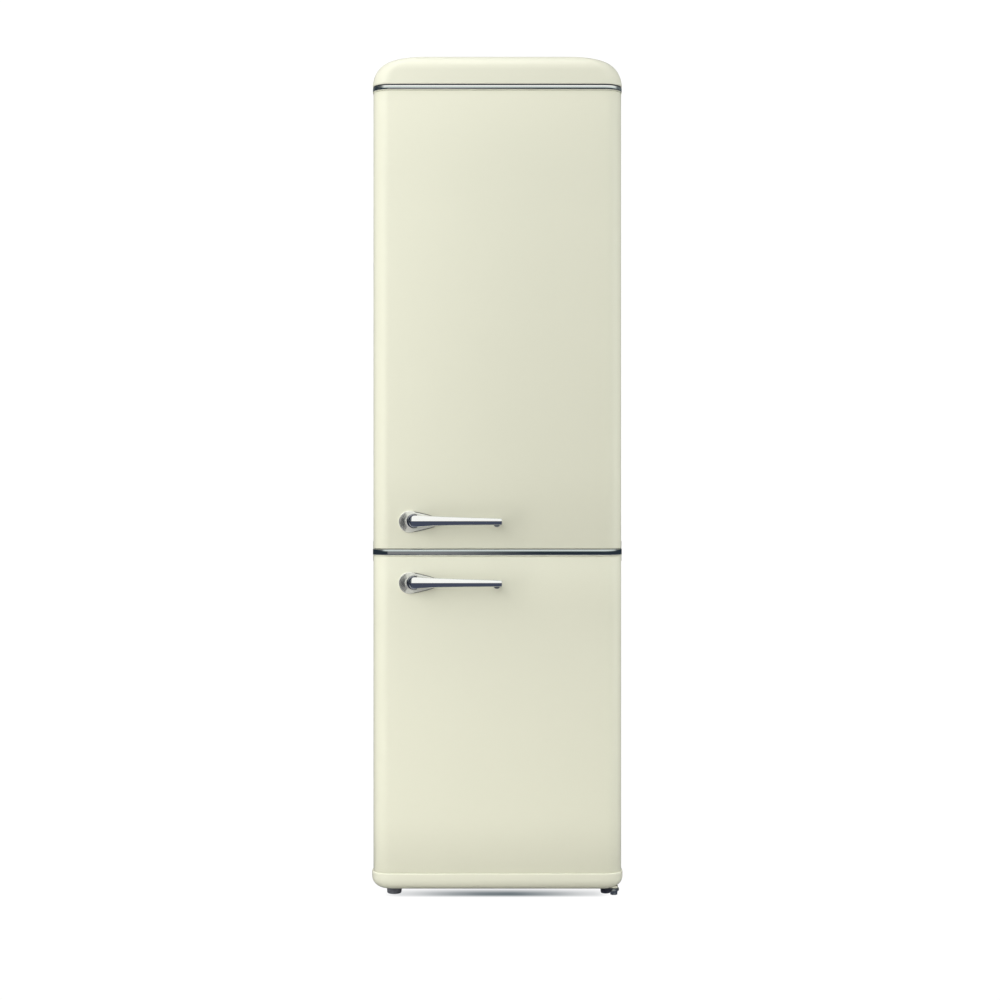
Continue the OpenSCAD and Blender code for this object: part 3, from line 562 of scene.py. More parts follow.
# ---------------------------------------------------------------- lower trim of the freezer door
def lower_trim():
    T = 20.0
    rings = []
    R_side, R_front = 28.0, 20.0

    def ring(s, fr, z, dr=0.0):
        w = 556.0 - 2 * s
        return ring_z(plan(w, -3.0 + fr, 57.0, max(43.0 - 0.5 * (s + fr) + dr, 14.0), 2.0), z)
    zs = []
    # underside with a shallow hollow
    rings.append(ring(R_side + 9, R_front + 6, T + 1.6))
    rings.append(ring(R_side + 6, R_front + 3, T + 0.2))
    for a in range(0, 91, 10):
        t = math.radians(a)
        s = R_side * (1 - math.sin(t))
        # side and front leave the floor at their own radius
        z = T + 24.0 * (1 - math.cos(t))
        fr = R_front * (1 - math.sin(t)) ** 1.15
        rings.append(ring(s, fr, z))
    rings.append(ring(0.0, 0.0, LO - 3.6))
    # rounded top lip and the step down to the door skin
    for a in range(0, 91, 18):
        t = math.radians(a)
        q = 2.2 * (1 - math.cos(t))
        rings.append(ring(q, q, LO - 3.0 + 2.5 * math.sin(t)))
    rings.append(ring(3.4, 3.4, LO - 0.25))
    rings.append(ring(9.0, 9.0, LO - 0.25))
    v, f = loft(rings)
    parts = [(v, f)]
    parts.append(lathe([(4.2, 12.0), (4.2, 0.6), (4.6, 0.1), (8.4, 0.1), (9.0, 0.7), (9.4, 4.0)], (258, 25, 20.2), "z", 36, cap=False))
    parts.append(cap_plate(LO, 755.0, True))
    v, f = join(parts)
    return make("lower_door_trims", v, f, "lower_door", "cream_plastic", ("lower_door_end_trims",), angle=40)


lower_trim()


# ---------------------------------------------------------------- top cover
def top_cover():
    rings = []
    RS, RF, RB = 66.0, 34.0, 14.0
    TOP = 1860.0

    def ring(z, extra=0.0):
        s = 0 if z <= TOP - RS else RS - math.sqrt(max(RS ** 2 - (z - (TOP - RS)) ** 2, 0))
        fr = 0 if z <= TOP - RF else RF - math.sqrt(max(RF ** 2 - (z - (TOP - RF)) ** 2, 0))
        bk = 0 if z <= TOP - RB else RB - math.sqrt(max(RB ** 2 - (z - (TOP - RB)) ** 2, 0))
        s += extra
        fr += extra
        bk += extra
        return ring_z(plan(553.0 - 2 * s, -1.5 + fr, 561.0 - bk, 41.5 + 0.35 * s, 8.0 + 0.3 * bk, 20, 8), z)
    # inside lip, bottom edge radius
    rings.append(ring(CT + 0.1, 12.0))
    rings.append(ring(CT + 0.1, 1.0))
    rings.append(ring(CT + 0.35, 0.3))
    rings.append(ring(CT + 1.0, 0.0))
    for z in (1799, 1804, 1809, 1814, 1818, 1822, 1826):
        rings.append(ring(z))
    n = 22
    for k in range(1, n + 1):
        t = math.radians(90 * k / n)
        rings.append(ring(1826.0 + 34.0 * math.sin(t)))
    for e in (6.0, 20.0, 60.0, 120.0):
        s = RS + e
        rings.append(ring_z(plan(553.0 - 2 * s, -1.5 + RF + e, 561.0 - RB - e, 41.5 + 0.35 * RS, 12.0, 20, 8), 1860.0))
    v, f = loft(rings)
    return make("top_hood", v, f, "cabinet", "cream_plastic", ("top_cover",), angle=60)


top_cover()


# ---------------------------------------------------------------- chrome bands
def band(name, z0, z1, v_end, node, r, low_e, top_e, proud=1.8, mat=None):
    """a half-round chrome moulding that wraps the front and both sides"""
    h = z1 - z0
    zc = (z0 + z1) / 2
    pts = [(-275.0, v_end)] + [(-275.0, v_end - (v_end - 40.0) * k / 6) for k in range(1, 6)]
    pts += arc_pts(-275 + r, 0 + r, r, 180, 270, 18) + arc_pts(275 - r, 0 + r, r, 270, 360, 18)
    pts += [(275.0, 40.0 + (v_end - 40.0) * k / 6) for k in range(1, 6)] + [(275.0, v_end)]
    prof = [(-1.2, -h / 2), (-0.4, -h / 2)]
    for k in range(0, 9):
        a = math.radians(-90 + 90 * k / 8)
        prof.append((-0.35 + proud * math.cos(a), -h / 2 + 0.1 + low_e + low_e * math.sin(a)))
    for k in range(0, 9):
        a = math.radians(90 * k / 8)
        prof.append((-0.35 + proud * math.cos(a), h / 2 - 0.1 - top_e + top_e * math.sin(a)))
    prof += [(-0.4, h / 2), (-1.2, h / 2)]
    v, f = sweep(path_plan(pts, zc), prof, closed=False)
    return make(name, v, f, "cabinet", "chrome_trim" if mat is None else mat, (node,) if node else (), angle=60)


band("top_band", 1782.0, 1791.3, 545.0, "top_chrome_band", 40.0, 0.5, 0.6)
band("top_band_lip", 1780.7, 1782.3, 545.0, None, 40.0, 0.2, 0.2, 1.6, "cream_plastic")
band("top_band_seam", 1791.0, 1794.0, 545.0, None, 40.0, 0.3, 0.3, 0.7, "dark_plastic")
band("middle_band_lip", 755.25, 756.8, 68.0, None, 40.0, 0.2, 0.2, 1.75, "cream_plastic")
band("middle_band", 756.5, 769.5, 68.0, "mid_chrome_band", 40.0, 2.0, 0.7)


# ---------------------------------------------------------------- handles
def handle(tag, body, z, nodes):
    hx = -193.0
    # round plate with ring grooves, and its tail
    prof = [(24.0, 0.0), (24.0, -3.2), (23.6, -4.2), (22.9, -4.6)]
    r = 22.9
    while r > 12.0:
        prof += [(r - 0.35, -4.75), (r - 0.95, -4.75), (r - 1.15, -4.2), (r - 1.35, -3.6), (r - 1.75, -3.6), (r - 1.95, -4.2), (r - 2.1, -4.6)]
        r -= 2.3
    prof += [(11.0, -4.9), (4.0, -4.9)]
    plate = lathe(prof, (hx, 0, z), "v", 96)

    # tail: a low tapering leaf that leaves the disc tangentially
    rings = []
    L = 72.0
    steps = 26
    for i in range(steps + 1):
        t = i / steps
        x = hx + 2.0 + (L - 2.0) * t
        half = 23.5 * max(1 - t, 0.0) ** 0.55
        half = max(half, 0.3)
        hgt = 4.3 * (1 - 0.35 * t)
        ring = []
        m = 14
        for k in range(m + 1):
            a = math.pi * k / m
            c, s = math.cos(a), math.sin(a)
            ring.append(P(x, -hgt * min(1.0, (abs(s) * 2.0) ** 0.9) * (1.0 if abs(c) < 0.80 else 1.0), z + half * c))
        ring.append(P(x, 0.0, z - half))
        ring.append(P(x, 0.0, z + half))
        rings.append(ring)
    tail = loft(rings)
    v, f = join([plate, tail])
    make(tag + "_handle_rosette", v, f, body, "chrome_trim", nodes[0], angle=28, mat=M["chrome_satin"])

    # painted dark reflections on the chrome: dark plastic arcs in the left part of the ring grooves and thin dark lines
    # along both edges of the tail
    arcs = []
    for r, wd in ((8.5, 0.7), (10.7, 0.75), (12.8, 0.8), (15.0, 0.85), (17.3, 0.8), (19.6, 0.75), (21.9, 0.6)):
        for_r = []
        for k in range(0, 41):
            a = math.radians(112 + 136 * k / 40)
            thin = wd * (0.25 + 0.75 * math.sin(math.pi * k / 40) ** 0.6)
            c, sn = math.cos(a), math.sin(a)
            for_r.append([P(hx + (r + o) * c, d, z + (r + o) * sn) for o, d in ((-thin, -4.0), (-thin, -4.78), (-thin * 0.5, -4.92), (thin * 0.5, -4.92), (thin, -4.78), (thin, -4.0))])
        arcs.append(loft(for_r))
    for sg in (-1, 1):
        line = []
        for i in range(0, 25):
            q = i / 24
            x = hx + 7.0 + 48.0 * q
            t = (x - hx - 2.0) / (L - 2.0)
            zz = 23.5 * max(1 - t, 0.0) ** 0.55
            wd = 0.15 + (0.75 if sg < 0 else 0.5) * math.sin(math.pi * min(0.12 + 0.88 * q, 1.0) * 0.8)
            line.append([P(x, d, z + sg * (zz + o)) for o, d in ((-wd * 0.6, -0.4), (-wd * 0.6, -2.4), (0.0, -2.9), (wd * 0.6, -2.4), (wd * 0.6, -0.4))])
        arcs.append(loft(line))
    v, f = join(arcs)
    make(tag + "_handle_painted_dark_reflections", v, f, body, "dark_plastic", (), angle=40)

    # boss: a crescent wall that the round end of the grip sits in; its darker chrome is a painted dark reflection round
    # the grip's end
    boss = []
    for k in range(0, 49):
        a = math.radians(80 + 200 * k / 48)
        wd = 0.7 + 5.6 * math.sin(math.pi * k / 48) ** 1.3
        c, sn = math.cos(a), math.sin(a)
        ri = 14.2
        boss.append([P(-177.5 + r * c, d, z + 2.4 + r * sn) for r, d in ((ri, -4.0), (ri, -42.0), (ri + 0.25 * wd, -42.8), (ri + 0.6 * wd, -42.2), (ri + 0.92 * wd, -40.4), (ri + wd, -37.5), (ri + wd * 0.8, -20.0), (ri + wd * 0.9, -4.0))])
    v, f = loft(boss)
    make(tag + "_handle_boss", v, f, body, "chrome_trim", (), angle=50, mat=M["chrome_dark"])

    # the grip: tapered bar with two flat facets that meet at a crease, a round left end
    x_l, x_r = -193.6, 11.2
    tops = [(-202.0, 13.6), (-185.4, 14.6), (-165.0, 12.6), (-139.7, 11.2), (-100.6, 9.6), (-59.3, 8.2), (-5.0, 6.6), (11.2, 5.7)]
    bots = [(-202.0, 14.0), (-185.4, 14.8), (-165.0, 12.4), (-139.7, 10.8), (-100.6, 9.8), (-59.3, 9.3), (-5.0, 8.9), (11.2, 8.6)]

    def interp(tab, x):
        for (x0, a), (x1, b) in zip(tab, tab[1:]):
            if x <= x1:
                return a + (b - a) * (x - x0) / (x1 - x0)
        return tab[-1][1]

    def section(x):
        """(depth from the front, height) round the bar, crease first"""
        tp, bt = interp(tops, x), interp(bots, x)
        s = (x - x_l) / (x_r - x_l)
        lean = 0.46 - 0.10 * s                      # how far each facet falls back
        deep = 20.0 - 8.0 * s
        rt, rb = 2.6 - 0.8 * s, 2.4 - 0.8 * s
        pts = [(0.0, 0.0)]
        # upper facet, very slightly crowned
        for k in range(1, 9):
            u = k / 9
            h = (tp - rt) * u
            pts.append((lean * h * (0.94 + 0.12 * u), h))
        base = lean * (tp - rt) * 1.06
        for k in range(0, 7):
            a = math.radians(90 * k / 6)
            pts.append((base + rt * 0.9 * (1 - math.cos(a)) + 0.25 * k, tp - rt + rt * math.sin(a)))
        # back, a soft arch
        vb = base + rt * 0.9 + 1.5
        for k in range(1, 16):
            a = math.radians(90 - 180 * k / 16)
            mid = (tp - bt) / 2
            hh = (tp + bt) / 2
            pts.append((vb + (deep - vb) * math.cos(a), mid + hh * math.sin(a)))
        base2 = lean * 1.08 * (bt - rb)
        for k in range(6, -1, -1):
            a = math.radians(90 * k / 6)
            pts.append((base2 + rb * 0.9 * (1 - math.cos(a)) + 0.25 * k, -(bt - rb) - rb * math.sin(a)))
        for k in range(8, 0, -1):
            u = k / 9
            h = (bt - rb) * u
            pts.append((lean * 1.08 * h * (0.94 + 0.06 * u), -h))
        return pts

    rings = []
    xs = []
    R0 = 10.0
    for i in range(0, 15):
        t = math.radians(90 * i / 14)
        xs.append((x_l + R0 * (1 - math.cos(t)), max(math.sin(t), 0.03), (1 - math.sin(t)) * 7.0))
    for i in range(1, 36):
        xs.append((x_l + R0 + (x_r - x_l - R0 - 2.2) * i / 35, 1.0, 0.0))
    for i in range(1, 8):
        t = math.radians(90 * i / 7)
        xs.append((x_r - 2.2 + 2.2 * math.sin(t), 0.5 + 0.5 * max(math.cos(t), 0.0), 2.2 * (1 - math.cos(t))))
    for x, ke, back in xs:
        s = (x - x_l) / (x_r - x_l)
        deep = 20.0 - 8.0 * s
        turn = 4.0 * max(0.0, 1 - (x - x_l) / 20.0) ** 2
        tall = interp(tops, x)
        rings.append([P(x, -47.95 + 1.2 * s + back + turn * min(abs(h) / tall, 1.0) ** 2 + (d - deep * 0.5) * min(ke, 1.0) + deep * 0.5, z + 2.4 + h * ke) for d, h in section(x)])
    bar = loft(rings)
    # neck between plate and bar, with a dark-looking ring groove
    neck = lathe([(12.6, -4.6), (12.2, -5.6), (11.4, -6.6), (11.2, -20.0), (11.8, -26.0), (12.4, -30.0), (12.4, -36.0)], (hx + 14, 0, z + 2.4), "v", 56)
    # standoff under the right end
    post = []
    for i in range(0, 13):
        t = i / 12
        vv = -0.2 - 39.0 * t
        flare = 6.9 - 1.6 * math.sin(math.pi * min(t * 1.15, 1.0)) if t < 0.9 else 5.6
        ring = [P(-1.0 + 1.25 * flare * math.cos(2 * math.pi * k / 36), vv, z - 6.2 + flare * 1.02 * math.sin(2 * math.pi * k / 36) + 1.2 * t) for k in range(36)]
        post.append(ring)
    foot = lathe([(7.4, 0.0), (7.4, -1.2), (6.9, -1.7), (5.0, -1.8)], (-1.0, 0, z - 5.2), "v", 40)
    v, f = join([bar, neck, loft(post), foot])
    make(tag + "_handle_grip", v, f, body, "chrome_trim", nodes[1], angle=26)


handle("upper", "upper_door", 830.5, (("upper_handle_plate",), ("upper_handle_bar",)))
handle("lower", "lower_door", 696.0, (("lower_handle",), ()))


# ---------------------------------------------------------------- cabinet
def panel_frame(x0, x1, z0, z1, ix0, ix1, iz0, iz1, v0, v1, r_in=4.0):
    """flat frame with a rounded hole, as a closed solid; holes and outside share their point count"""
    n = 6
    out = rrect(x0, z0, x1, z1, 1.0, n)
    inn = rrect(ix0, iz0, ix1, iz1, r_in, n)
    a, b = [P(x, v0, z) for x, z in out], [P(x, v0, z) for x, z in inn]
    c, d = [P(x, v1, z) for x, z in inn], [P(x, v1, z) for x, z in out]
    v, f = loft([a, b, c, d], False, False, loop=True)
    return v, f


parts = []
# side walls and top as one bent sheet, 1.2 thick, with rounded bends
z0c, z1c, t = 30.0, CT, 1.2


def bent_wrap():
    outer = [(-275.0, z0c)] + [(-275.0, z0c + (z1c - 3.0 - z0c) * k / 8) for k in range(1, 8)] + arc_pts(-272.0, z1c - 3.0, 3.0, 180, 90, 5)
    outer += arc_pts(272.0, z1c - 3.0, 3.0, 90, 0, 5) + [(275.0, z1c - 3.0 - (z1c - 3.0 - z0c) * k / 8) for k in range(1, 8)] + [(275.0, z0c)]
    inner = []
    for x, z in outer:
        xi = max(-275 + t, min(275 - t, x))
        zi = min(z, z1c - t)
        inner.append((xi, zi))
    rings = []
    prof = outer + inner[::-1]
    vs = [68.0, 68.5, 70.0, 190.0, 310.0, 430.0, 556.0, 557.6, 558.0]
    ins = [1.2, 0.5, 0.0, 0.0, 0.0, 0.0, 0.0, 0.4, 1.1]
    rings = []
    for vv, i in zip(vs, ins):
        k = 0.45 * i
        ring = []
        for j, (x, z) in enumerate(prof):
            if j < len(outer):
                xo = x - math.copysign(k, x) if abs(x) > 270 else x
                zo = z - k if z > z1c - 4 else z
                ring.append(P(xo, vv, zo))
            else:
                ring.append(P(x, vv, z))
        rings.append(ring)
    return loft(rings)


parts.append(bent_wrap())
# front flange frame and the narrower one at the back
parts.append(panel_frame(-273.9, 273.9, 30.0, CT - 1.1, -236, 236, 26.0, CT - 39, 68.0, 69.2, 3.0))
parts.append(panel_frame(-273.9, 273.9, 30.0, CT - 1.1, -259, 259, 26.0, CT - 16, 556.8, 558.0, 3.0))
v, f = join(parts)
make("cabinet_shell", v, f, "cabinet", "cream_enamel", ("cabinet_wrap",), angle=40)


def liner_box(name, body, slot, node, hx, z0, z1, v1, flange, r=14.0, step=None):
    """thin rounded tub that opens to the front"""
    th = 1.8
    rings = []
    fx, fz0, fz1 = flange

    def ring(x, za, zb, rr, v):
        return ring_v(rrect(-x, za, x, zb, rr, 8), v)
    rings.append(ring(fx, fz0, fz1, 4, 71.6))
    rings.append(ring(fx, fz0, fz1, 4, 69.4))
    rings.append(ring(hx + 6, z0 - 6, z1 + 6, r + 2, 69.3))
    for a in range(0, 91, 18):
        tt = math.radians(a)
        q = 6 * (1 - math.sin(tt))
        rings.append(ring(hx + q, z0 - q, z1 + q, r, 69.3 + 6 * (1 - math.cos(tt))))
    if step is None:
        for k in range(1, 5):
            rings.append(ring(hx, z0, z1, r, 75.3 + (v1 - 20 - 75.3) * k / 5))
        for a in range(0, 91, 15):
            tt = math.radians(a)
            q = 14 * (1 - math.cos(tt))
            rings.append(ring(hx - q, z0 + q, z1 - q, r + 4, v1 - 14 + 14 * math.sin(tt)))
        cut = len(rings)
        for a in range(90, -1, -15):
            tt = math.radians(a)
            q = 14 * (1 - math.cos(tt))
            rings.append(ring(hx + th - q, z0 - th + q, z1 + th - q, r + 4, v1 + th - 14 + 14 * math.sin(tt)))
        rings.append(ring(hx + th, z0 - th, z1 + th, r, 75.3))
    v, f = loft(rings, False, False)
    # close the back wall inside and outside, and the rim
    n = len(rings[0])
    f.append(tuple((cut - 1) * n + k for k in range(n)))
    f.append(tuple(cut * n + k for k in range(n)))
    f = [q for q in f if not (len(q) == 4 and min(q) // n == cut - 1 and max(q) // n == cut)]
    a, b = (len(rings) - 1) * n, 0
    for k in range(n):
        f.append((a + k, a + (k + 1) % n, b + (k + 1) % n, b + k))
    return v, f


v, f = liner_box("x", "cabinet", "liner_white", "fridge_liner", 223.0, 806.0, 1750.0, 510.0, (258.0, 776.0, 1779.0))
parts = [(v, f)]
for z in (1190, 1370, 1550, 1020):
    for s in (-1, 1):
        x0, x1 = (214.2, 224.0) if s > 0 else (-224.0, -214.2)
        parts.append(rounded_box(x0, x1, 198, 496, z - 9, z - 0.2, 3.0, 3))
v, f = join(parts)
make("fridge_liner_tub", v, f, "cabinet", "liner_white", ("fridge_liner",), angle=40)

soften("freezer_liner", 2.0, 3, "liner_white", 50)
soften("back_panel", 0.5, 2, "galvanised")
soften("bottom_pan", 0.4, 1, "galvanised")
soften("mid_rail", 0.5, 2, "cream_enamel")
soften("insulation_foam", 0, 1, "foam")
soften("upper_door_foam", 0, 1, "foam")
soften("lower_door_foam", 0, 1, "foam")
soften("band_carriers", 0.5, 2, "dark_plastic")
soften("band_side_clips", 1.2, 3, "clip_grey", mat=M["clip_grey"])
for n in ("top_hinge", "middle_hinge", "bottom_hinge"):
    soften(n, 0.6, 2, "zinc")
soften("hinge_screws", 0.7, 3, "zinc")
soften("foot_brackets", 0.5, 2, "zinc")
soften("foot_screw_left", 0.4, 2, "zinc")
soften("foot_screw_right", 0.4, 2, "zinc")
soften("roller_brackets", 0.4, 2, "galvanised")
soften("rear_roller_left", 1.2, 3, "dark_plastic")
soften("rear_roller_right", 1.2, 3, "dark_plastic")
soften("compressor_base", 0.4, 2, "galvanised")
soften("compressor_grommets", 1.0, 3, "grommet_rubber")
soften("terminal_box", 2.0, 3, "dark_plastic")
soften("evaporation_tray", 1.0, 3, "tray_plastic")
soften("drain_tube", 0.3, 2, "tray_plastic")
soften("refrigerant_pipes", 0, 1, "copper_pipe")
soften("filter_drier", 0.5, 2, "copper_pipe")
soften("condenser_coil", 0, 1, "black_enamel")
soften("condenser_wires", 0, 1, "black_enamel")
soften("condenser_spacers", 1.0, 2, "dark_plastic")
soften("freezer_evaporator", 0, 1, "evaporator_white")
soften("control_box", 2.0, 3, "liner_white")
soften("thermostat_dial", 0.8, 3, "dial_grey")
soften("lamp_cover", 1.5, 3, "lamp_diffuser")
soften("glass_shelves", 0.6, 2, "shelf_glass")
soften("shelf_trims", 1.5, 3, "trim_white")


# ---------------------------------------------------------------- compressor
def compressor():
    cx, cv = 60.0, 450.0
    prof = [(0.0, 52.0), (38.0, 52.0), (50.0, 54.0), (58.0, 59.0), (65.0, 68.0), (69.0, 80.0), (70.8, 92.0), (71.0, 116.6), (72.6, 117.6), (73.0, 118.4), (73.0, 124.4), (72.6, 125.0),
            (71.0, 125.6), (70.6, 136.0), (69.4, 144.0), (66.4, 154.0), (61.0, 164.0), (53.0, 173.0), (43.0, 180.6), (31.0, 186.0), (16.0, 189.2), (0.0, 190.0)]
    parts = [lathe(prof, (cx, cv, 0), "z", 72)]
    # pressed mounting plate with four legs
    m = 8
    outline = rrect(cx - 100, cv - 62, cx + 100, cv + 62, 14, m)
    rings = []
    for ins, z in ((1.0, 46.0), (0.0, 46.8), (0.0, 48.2), (1.0, 49.0)):
        rings.append(ring_z(rrect(cx - 100 + ins, cv - 62 + ins, cx + 100 - ins, cv + 62 - ins, 14 - ins, m), z))
    parts.append(loft(rings))
    for s in (-1, 1):
        parts.append(rounded_box(cx + s * 37 - 3, cx + s * 37 + 3, cv - 29, cv + 29, 48.5, 61.0, 1.2, 2))
    for x in (-1, 1):
        for d in (-1, 1):
            # washer and bolt head on each grommet
            parts.append(lathe([(9.0, 49.0), (9.0, 50.4), (4.8, 50.5), (4.8, 54.0), (4.2, 54.8), (0.0, 55.0)], (cx + x * 85, cv + d * 50, 0), "z", 24))
    v, f = join(parts)
    make("compressor_pot", v, f, "cabinet", "black_enamel", ("compressor",), angle=35)


compressor()


# ---------------------------------------------------------------- feet
def foot_pad(name, body, x, node, R):
    prof = [(0.0, 0.0), (R - 3.4, 0.0), (R - 2.0, 0.5), (R - 1.2, 1.6), (R - 0.8, 3.2), (R - 0.4, 9.0), (R - 0.1, 14.0), (R - 0.4, 15.6), (R - 1.2, 16.6), (R - 4.0, 16.95), (R - 7.0, 17.0), (R - 7.2, 16.6), (0.0, 16.6)]
    n = 72
    rings = []
    for r, h in prof:
        ring = []
        for k in range(n):
            a = 2 * math.pi * k / n
            rr = r
            if r > R - 3 and 2.0 < h < 16.2:
                rr = r - 0.45 * (0.5 + 0.5 * math.cos(a * 24))
            ring.append(P(x + rr * math.cos(a), 62.5 + rr * math.sin(a), h))
        rings.append(ring)
    v, f = loft(rings)
    # the left foot takes a lighter and the right foot a darker copy of the same grey: painted light on the left foot,
    # painted shade on the right
    make(name, v, f, body, "foot_grey", (node,), angle=40, mat=M["foot_light"] if x < 0 else None)


foot_pad("left_foot_pad", "front_foot_left", -230.0, "front_foot_left", 17.0)
foot_pad("right_foot_pad", "front_foot_right", 242.0, "front_foot_right", 12.0)


# ---------------------------------------------------------------- drawers, racks and lid
def tub(x0, x1, v0, v1, z0, z1, r, th=2.6, draft=2.0, rim=3.0, base_r=8.0):
    """open moulded tub: rounded base edge, drafted walls, rolled rim"""
    rings = []

    def ring(i, z, rr):
        return ring_z(rrect(x0 + i, v0 + i, x1 - i, v1 - i, max(rr, 1.0), 8), z)
    h = z1 - z0
    rings.append(ring(draft + base_r, z0, r - 4))
    for a in range(0, 91, 15):
        t = math.radians(a)
        rings.append(ring(draft + base_r * (1 - math.sin(t)), z0 + base_r * (1 - math.cos(t)), r - 2))
    for k in range(1, 5):
        q = k / 5
        rings.append(ring(draft * (1 - q) + 1.2, z0 + base_r + (h - base_r - 7) * q, r))
    rings.append(ring(1.2, z1 - 7.0, r))
    rings.append(ring(0.3, z1 - 5.4, r))
    rings.append(ring(0.0, z1 - 4.4, r))
    rings.append(ring(0.0, z1 - 1.2, r))
    rings.append(ring(0.5, z1 - 0.3, r))
    rings.append(ring(1.4, z1, r))
    rings.append(ring(2.2, z1 - 0.3, r))
    rings.append(ring(2.8, z1 - 1.2, r - 1))
    rings.append(ring(1.2 + th, z1 - 7.0, r - 1))
    for k in range(4, 0, -1):
        q = k / 5
        rings.append(ring(draft * (1 - q) + 1.2 + th, z0 + base_r + (h - base_r - 7) * q, r - 1))
    for a in range(90, -1, -15):
        t = math.radians(a)
        rings.append(ring(draft + th + base_r * (1 - math.sin(t)), z0 + th + base_r * (1 - math.cos(t)), r - 3))
    return loft(rings)


def drawer(name, body, slot, node, hx, v0, v1, z0, z1, ribs=True):
    parts = [tub(-hx, hx, v0, v1, z0, z1, 14.0)]
    # pull: a curved lip across the middle of the front
    rings = []
    for i in range(0, 25):
        t = i / 24
        x = -70 + 140 * t
        e = min(1.0, min(t, 1 - t) * 9 + 0.15)
        prof = [(v0 + 1.6, z1 - 48.2), (v0 - 8.0 * e, z1 - 48.4), (v0 - 10.4 * e, z1 - 49.6), (v0 - 10.9 * e, z1 - 52.0), (v0 - 10.9 * e, z1 - 60.0),
                (v0 - 10.2 * e, z1 - 62.6), (v0 - 8.8 * e, z1 - 62.6), (v0 - 8.2 * e, z1 - 60.0), (v0 - 8.2 * e, z1 - 53.0), (v0 - 7.0 * e, z1 - 51.2), (v0 + 1.6, z1 - 50.8)]
        rings.append([P(x, a, b) for a, b in prof])
    parts.append(loft(rings))
    if ribs:
        for x in range(-150, 151, 50):
            if abs(x) > 74 or z1 - z0 > 150:
                parts.append(rounded_box(x - 1.6, x + 1.6, v0 + 0.2, v0 + 2.0, z0 + 16, z1 - 70, 0.8, 2))
    v, f = join(parts)
    make(name, v, f, body, slot, (node,), angle=35)


drawer("crisper_bin", "crisper_drawer", "clear_plastic", "crisper_drawer", 211.0, 216, 492, 806.4, 1001, True)
drawer("freezer_bin_upper", "freezer_drawer_upper", "frosted_plastic", "freezer_drawer_upper", 209.0, 112, 480, 533.4, 722, True)
drawer("freezer_bin_middle", "freezer_drawer_middle", "frosted_plastic", "freezer_drawer_middle", 209.0, 112, 480, 325.4, 516, True)
drawer("freezer_bin_lower", "freezer_drawer_lower", "frosted_plastic", "freezer_drawer_lower", 209.0, 112, 278, 92.4, 306, True)

parts = []
for z, h in zip(RACK_Z, RACK_H):
    parts.append(tub(-192, 192, 74, 172, z, z + h, 12.0, 2.4, 1.5, 2.0, 6.0))
lz = RACK_Z[0] + RACK_H[0] + 11
for s in (-1, 1):
    x0, x1 = (189.2, 191.9) if s > 0 else (-191.9, -189.2)
    parts.append(rounded_box(x0, x1, 77.2, 94.8, lz - 30, lz + 4.6, 1.2, 3))
v, f = join(parts)
make("door_rack_bins", v, f, "upper_door", "clear_plastic", ("door_racks",), angle=35)

# lid: a gently curved sheet with a turned-down front lip and two pins
rings = []
for i in range(0, 33):
    t = i / 32
    x = -186.6 + 373.2 * t
    prof_top, prof_bot = [], []
    for k in range(0, 13):
        u = k / 12
        vv = 83.4 + (173.6 - 83.4) * u
        prof_top.append((vv, lz - 0.1))
        prof_bot.append((vv, lz - 2.6))
    lip = [(174.8, lz - 0.5), (175.2, lz - 1.6), (175.3, lz - 4.0), (175.3, lz - 16.6), (174.6, lz - 17.6), (173.4, lz - 17.6), (172.8, lz - 16.6), (172.8, lz - 3.4)]
    rings.append([P(x, a, b) for a, b in prof_top + lip + prof_bot[::-1]])
parts = [loft(rings), lathe([(0.0, -190.8), (2.6, -190.8), (2.95, -190.2), (2.95, 190.2), (2.6, 190.8), (0.0, 190.8)], (0, 86, lz - 3), "x", 24)]
v, f = join(parts)
make("dairy_rack_lid", v, f, "dairy_lid", "clear_plastic", ("dairy_lid",), angle=35)

# ---------------------------------------------------------------- stage, light, camera
me = bpy.data.meshes.new("floor")
me.from_pydata([(-30, -30, 0), (30, -30, 0), (30, 30, 0), (-30, 30, 0)], [], [(0, 1, 2, 3)])
floor = bpy.data.objects.new("floor", me)
scene.collection.objects.link(floor)
fm, nt, b = new_mat("floor_m")
nt.nodes.remove(b)


def nmath(op, a, b=None, c=None):
    m = nt.nodes.new("ShaderNodeMath")
    m.operation = op
    for k, q in enumerate((a, b, c)):
        if q is None:
            continue
        if isinstance(q, (int, float)):
            m.inputs[k].default_value = q
        else:
            nt.links.new(q, m.inputs[k])
    return m.outputs[0]


def sstep(x, a, b2, lo=0.0, hi=1.0):
    m = nt.nodes.new("ShaderNodeMapRange")
    m.interpolation_type = "SMOOTHSTEP"
    m.inputs["From Min"].default_value = a
    m.inputs["From Max"].default_value = b2
    m.inputs["To Min"].default_value = lo
    m.inputs["To Max"].default_value = hi
    nt.links.new(x, m.inputs["Value"])
    return m.outputs["Result"]


tcf = nt.nodes.new("ShaderNodeTexCoord")
sp = nt.nodes.new("ShaderNodeSeparateXYZ")
nt.links.new(tcf.outputs["Object"], sp.inputs[0])
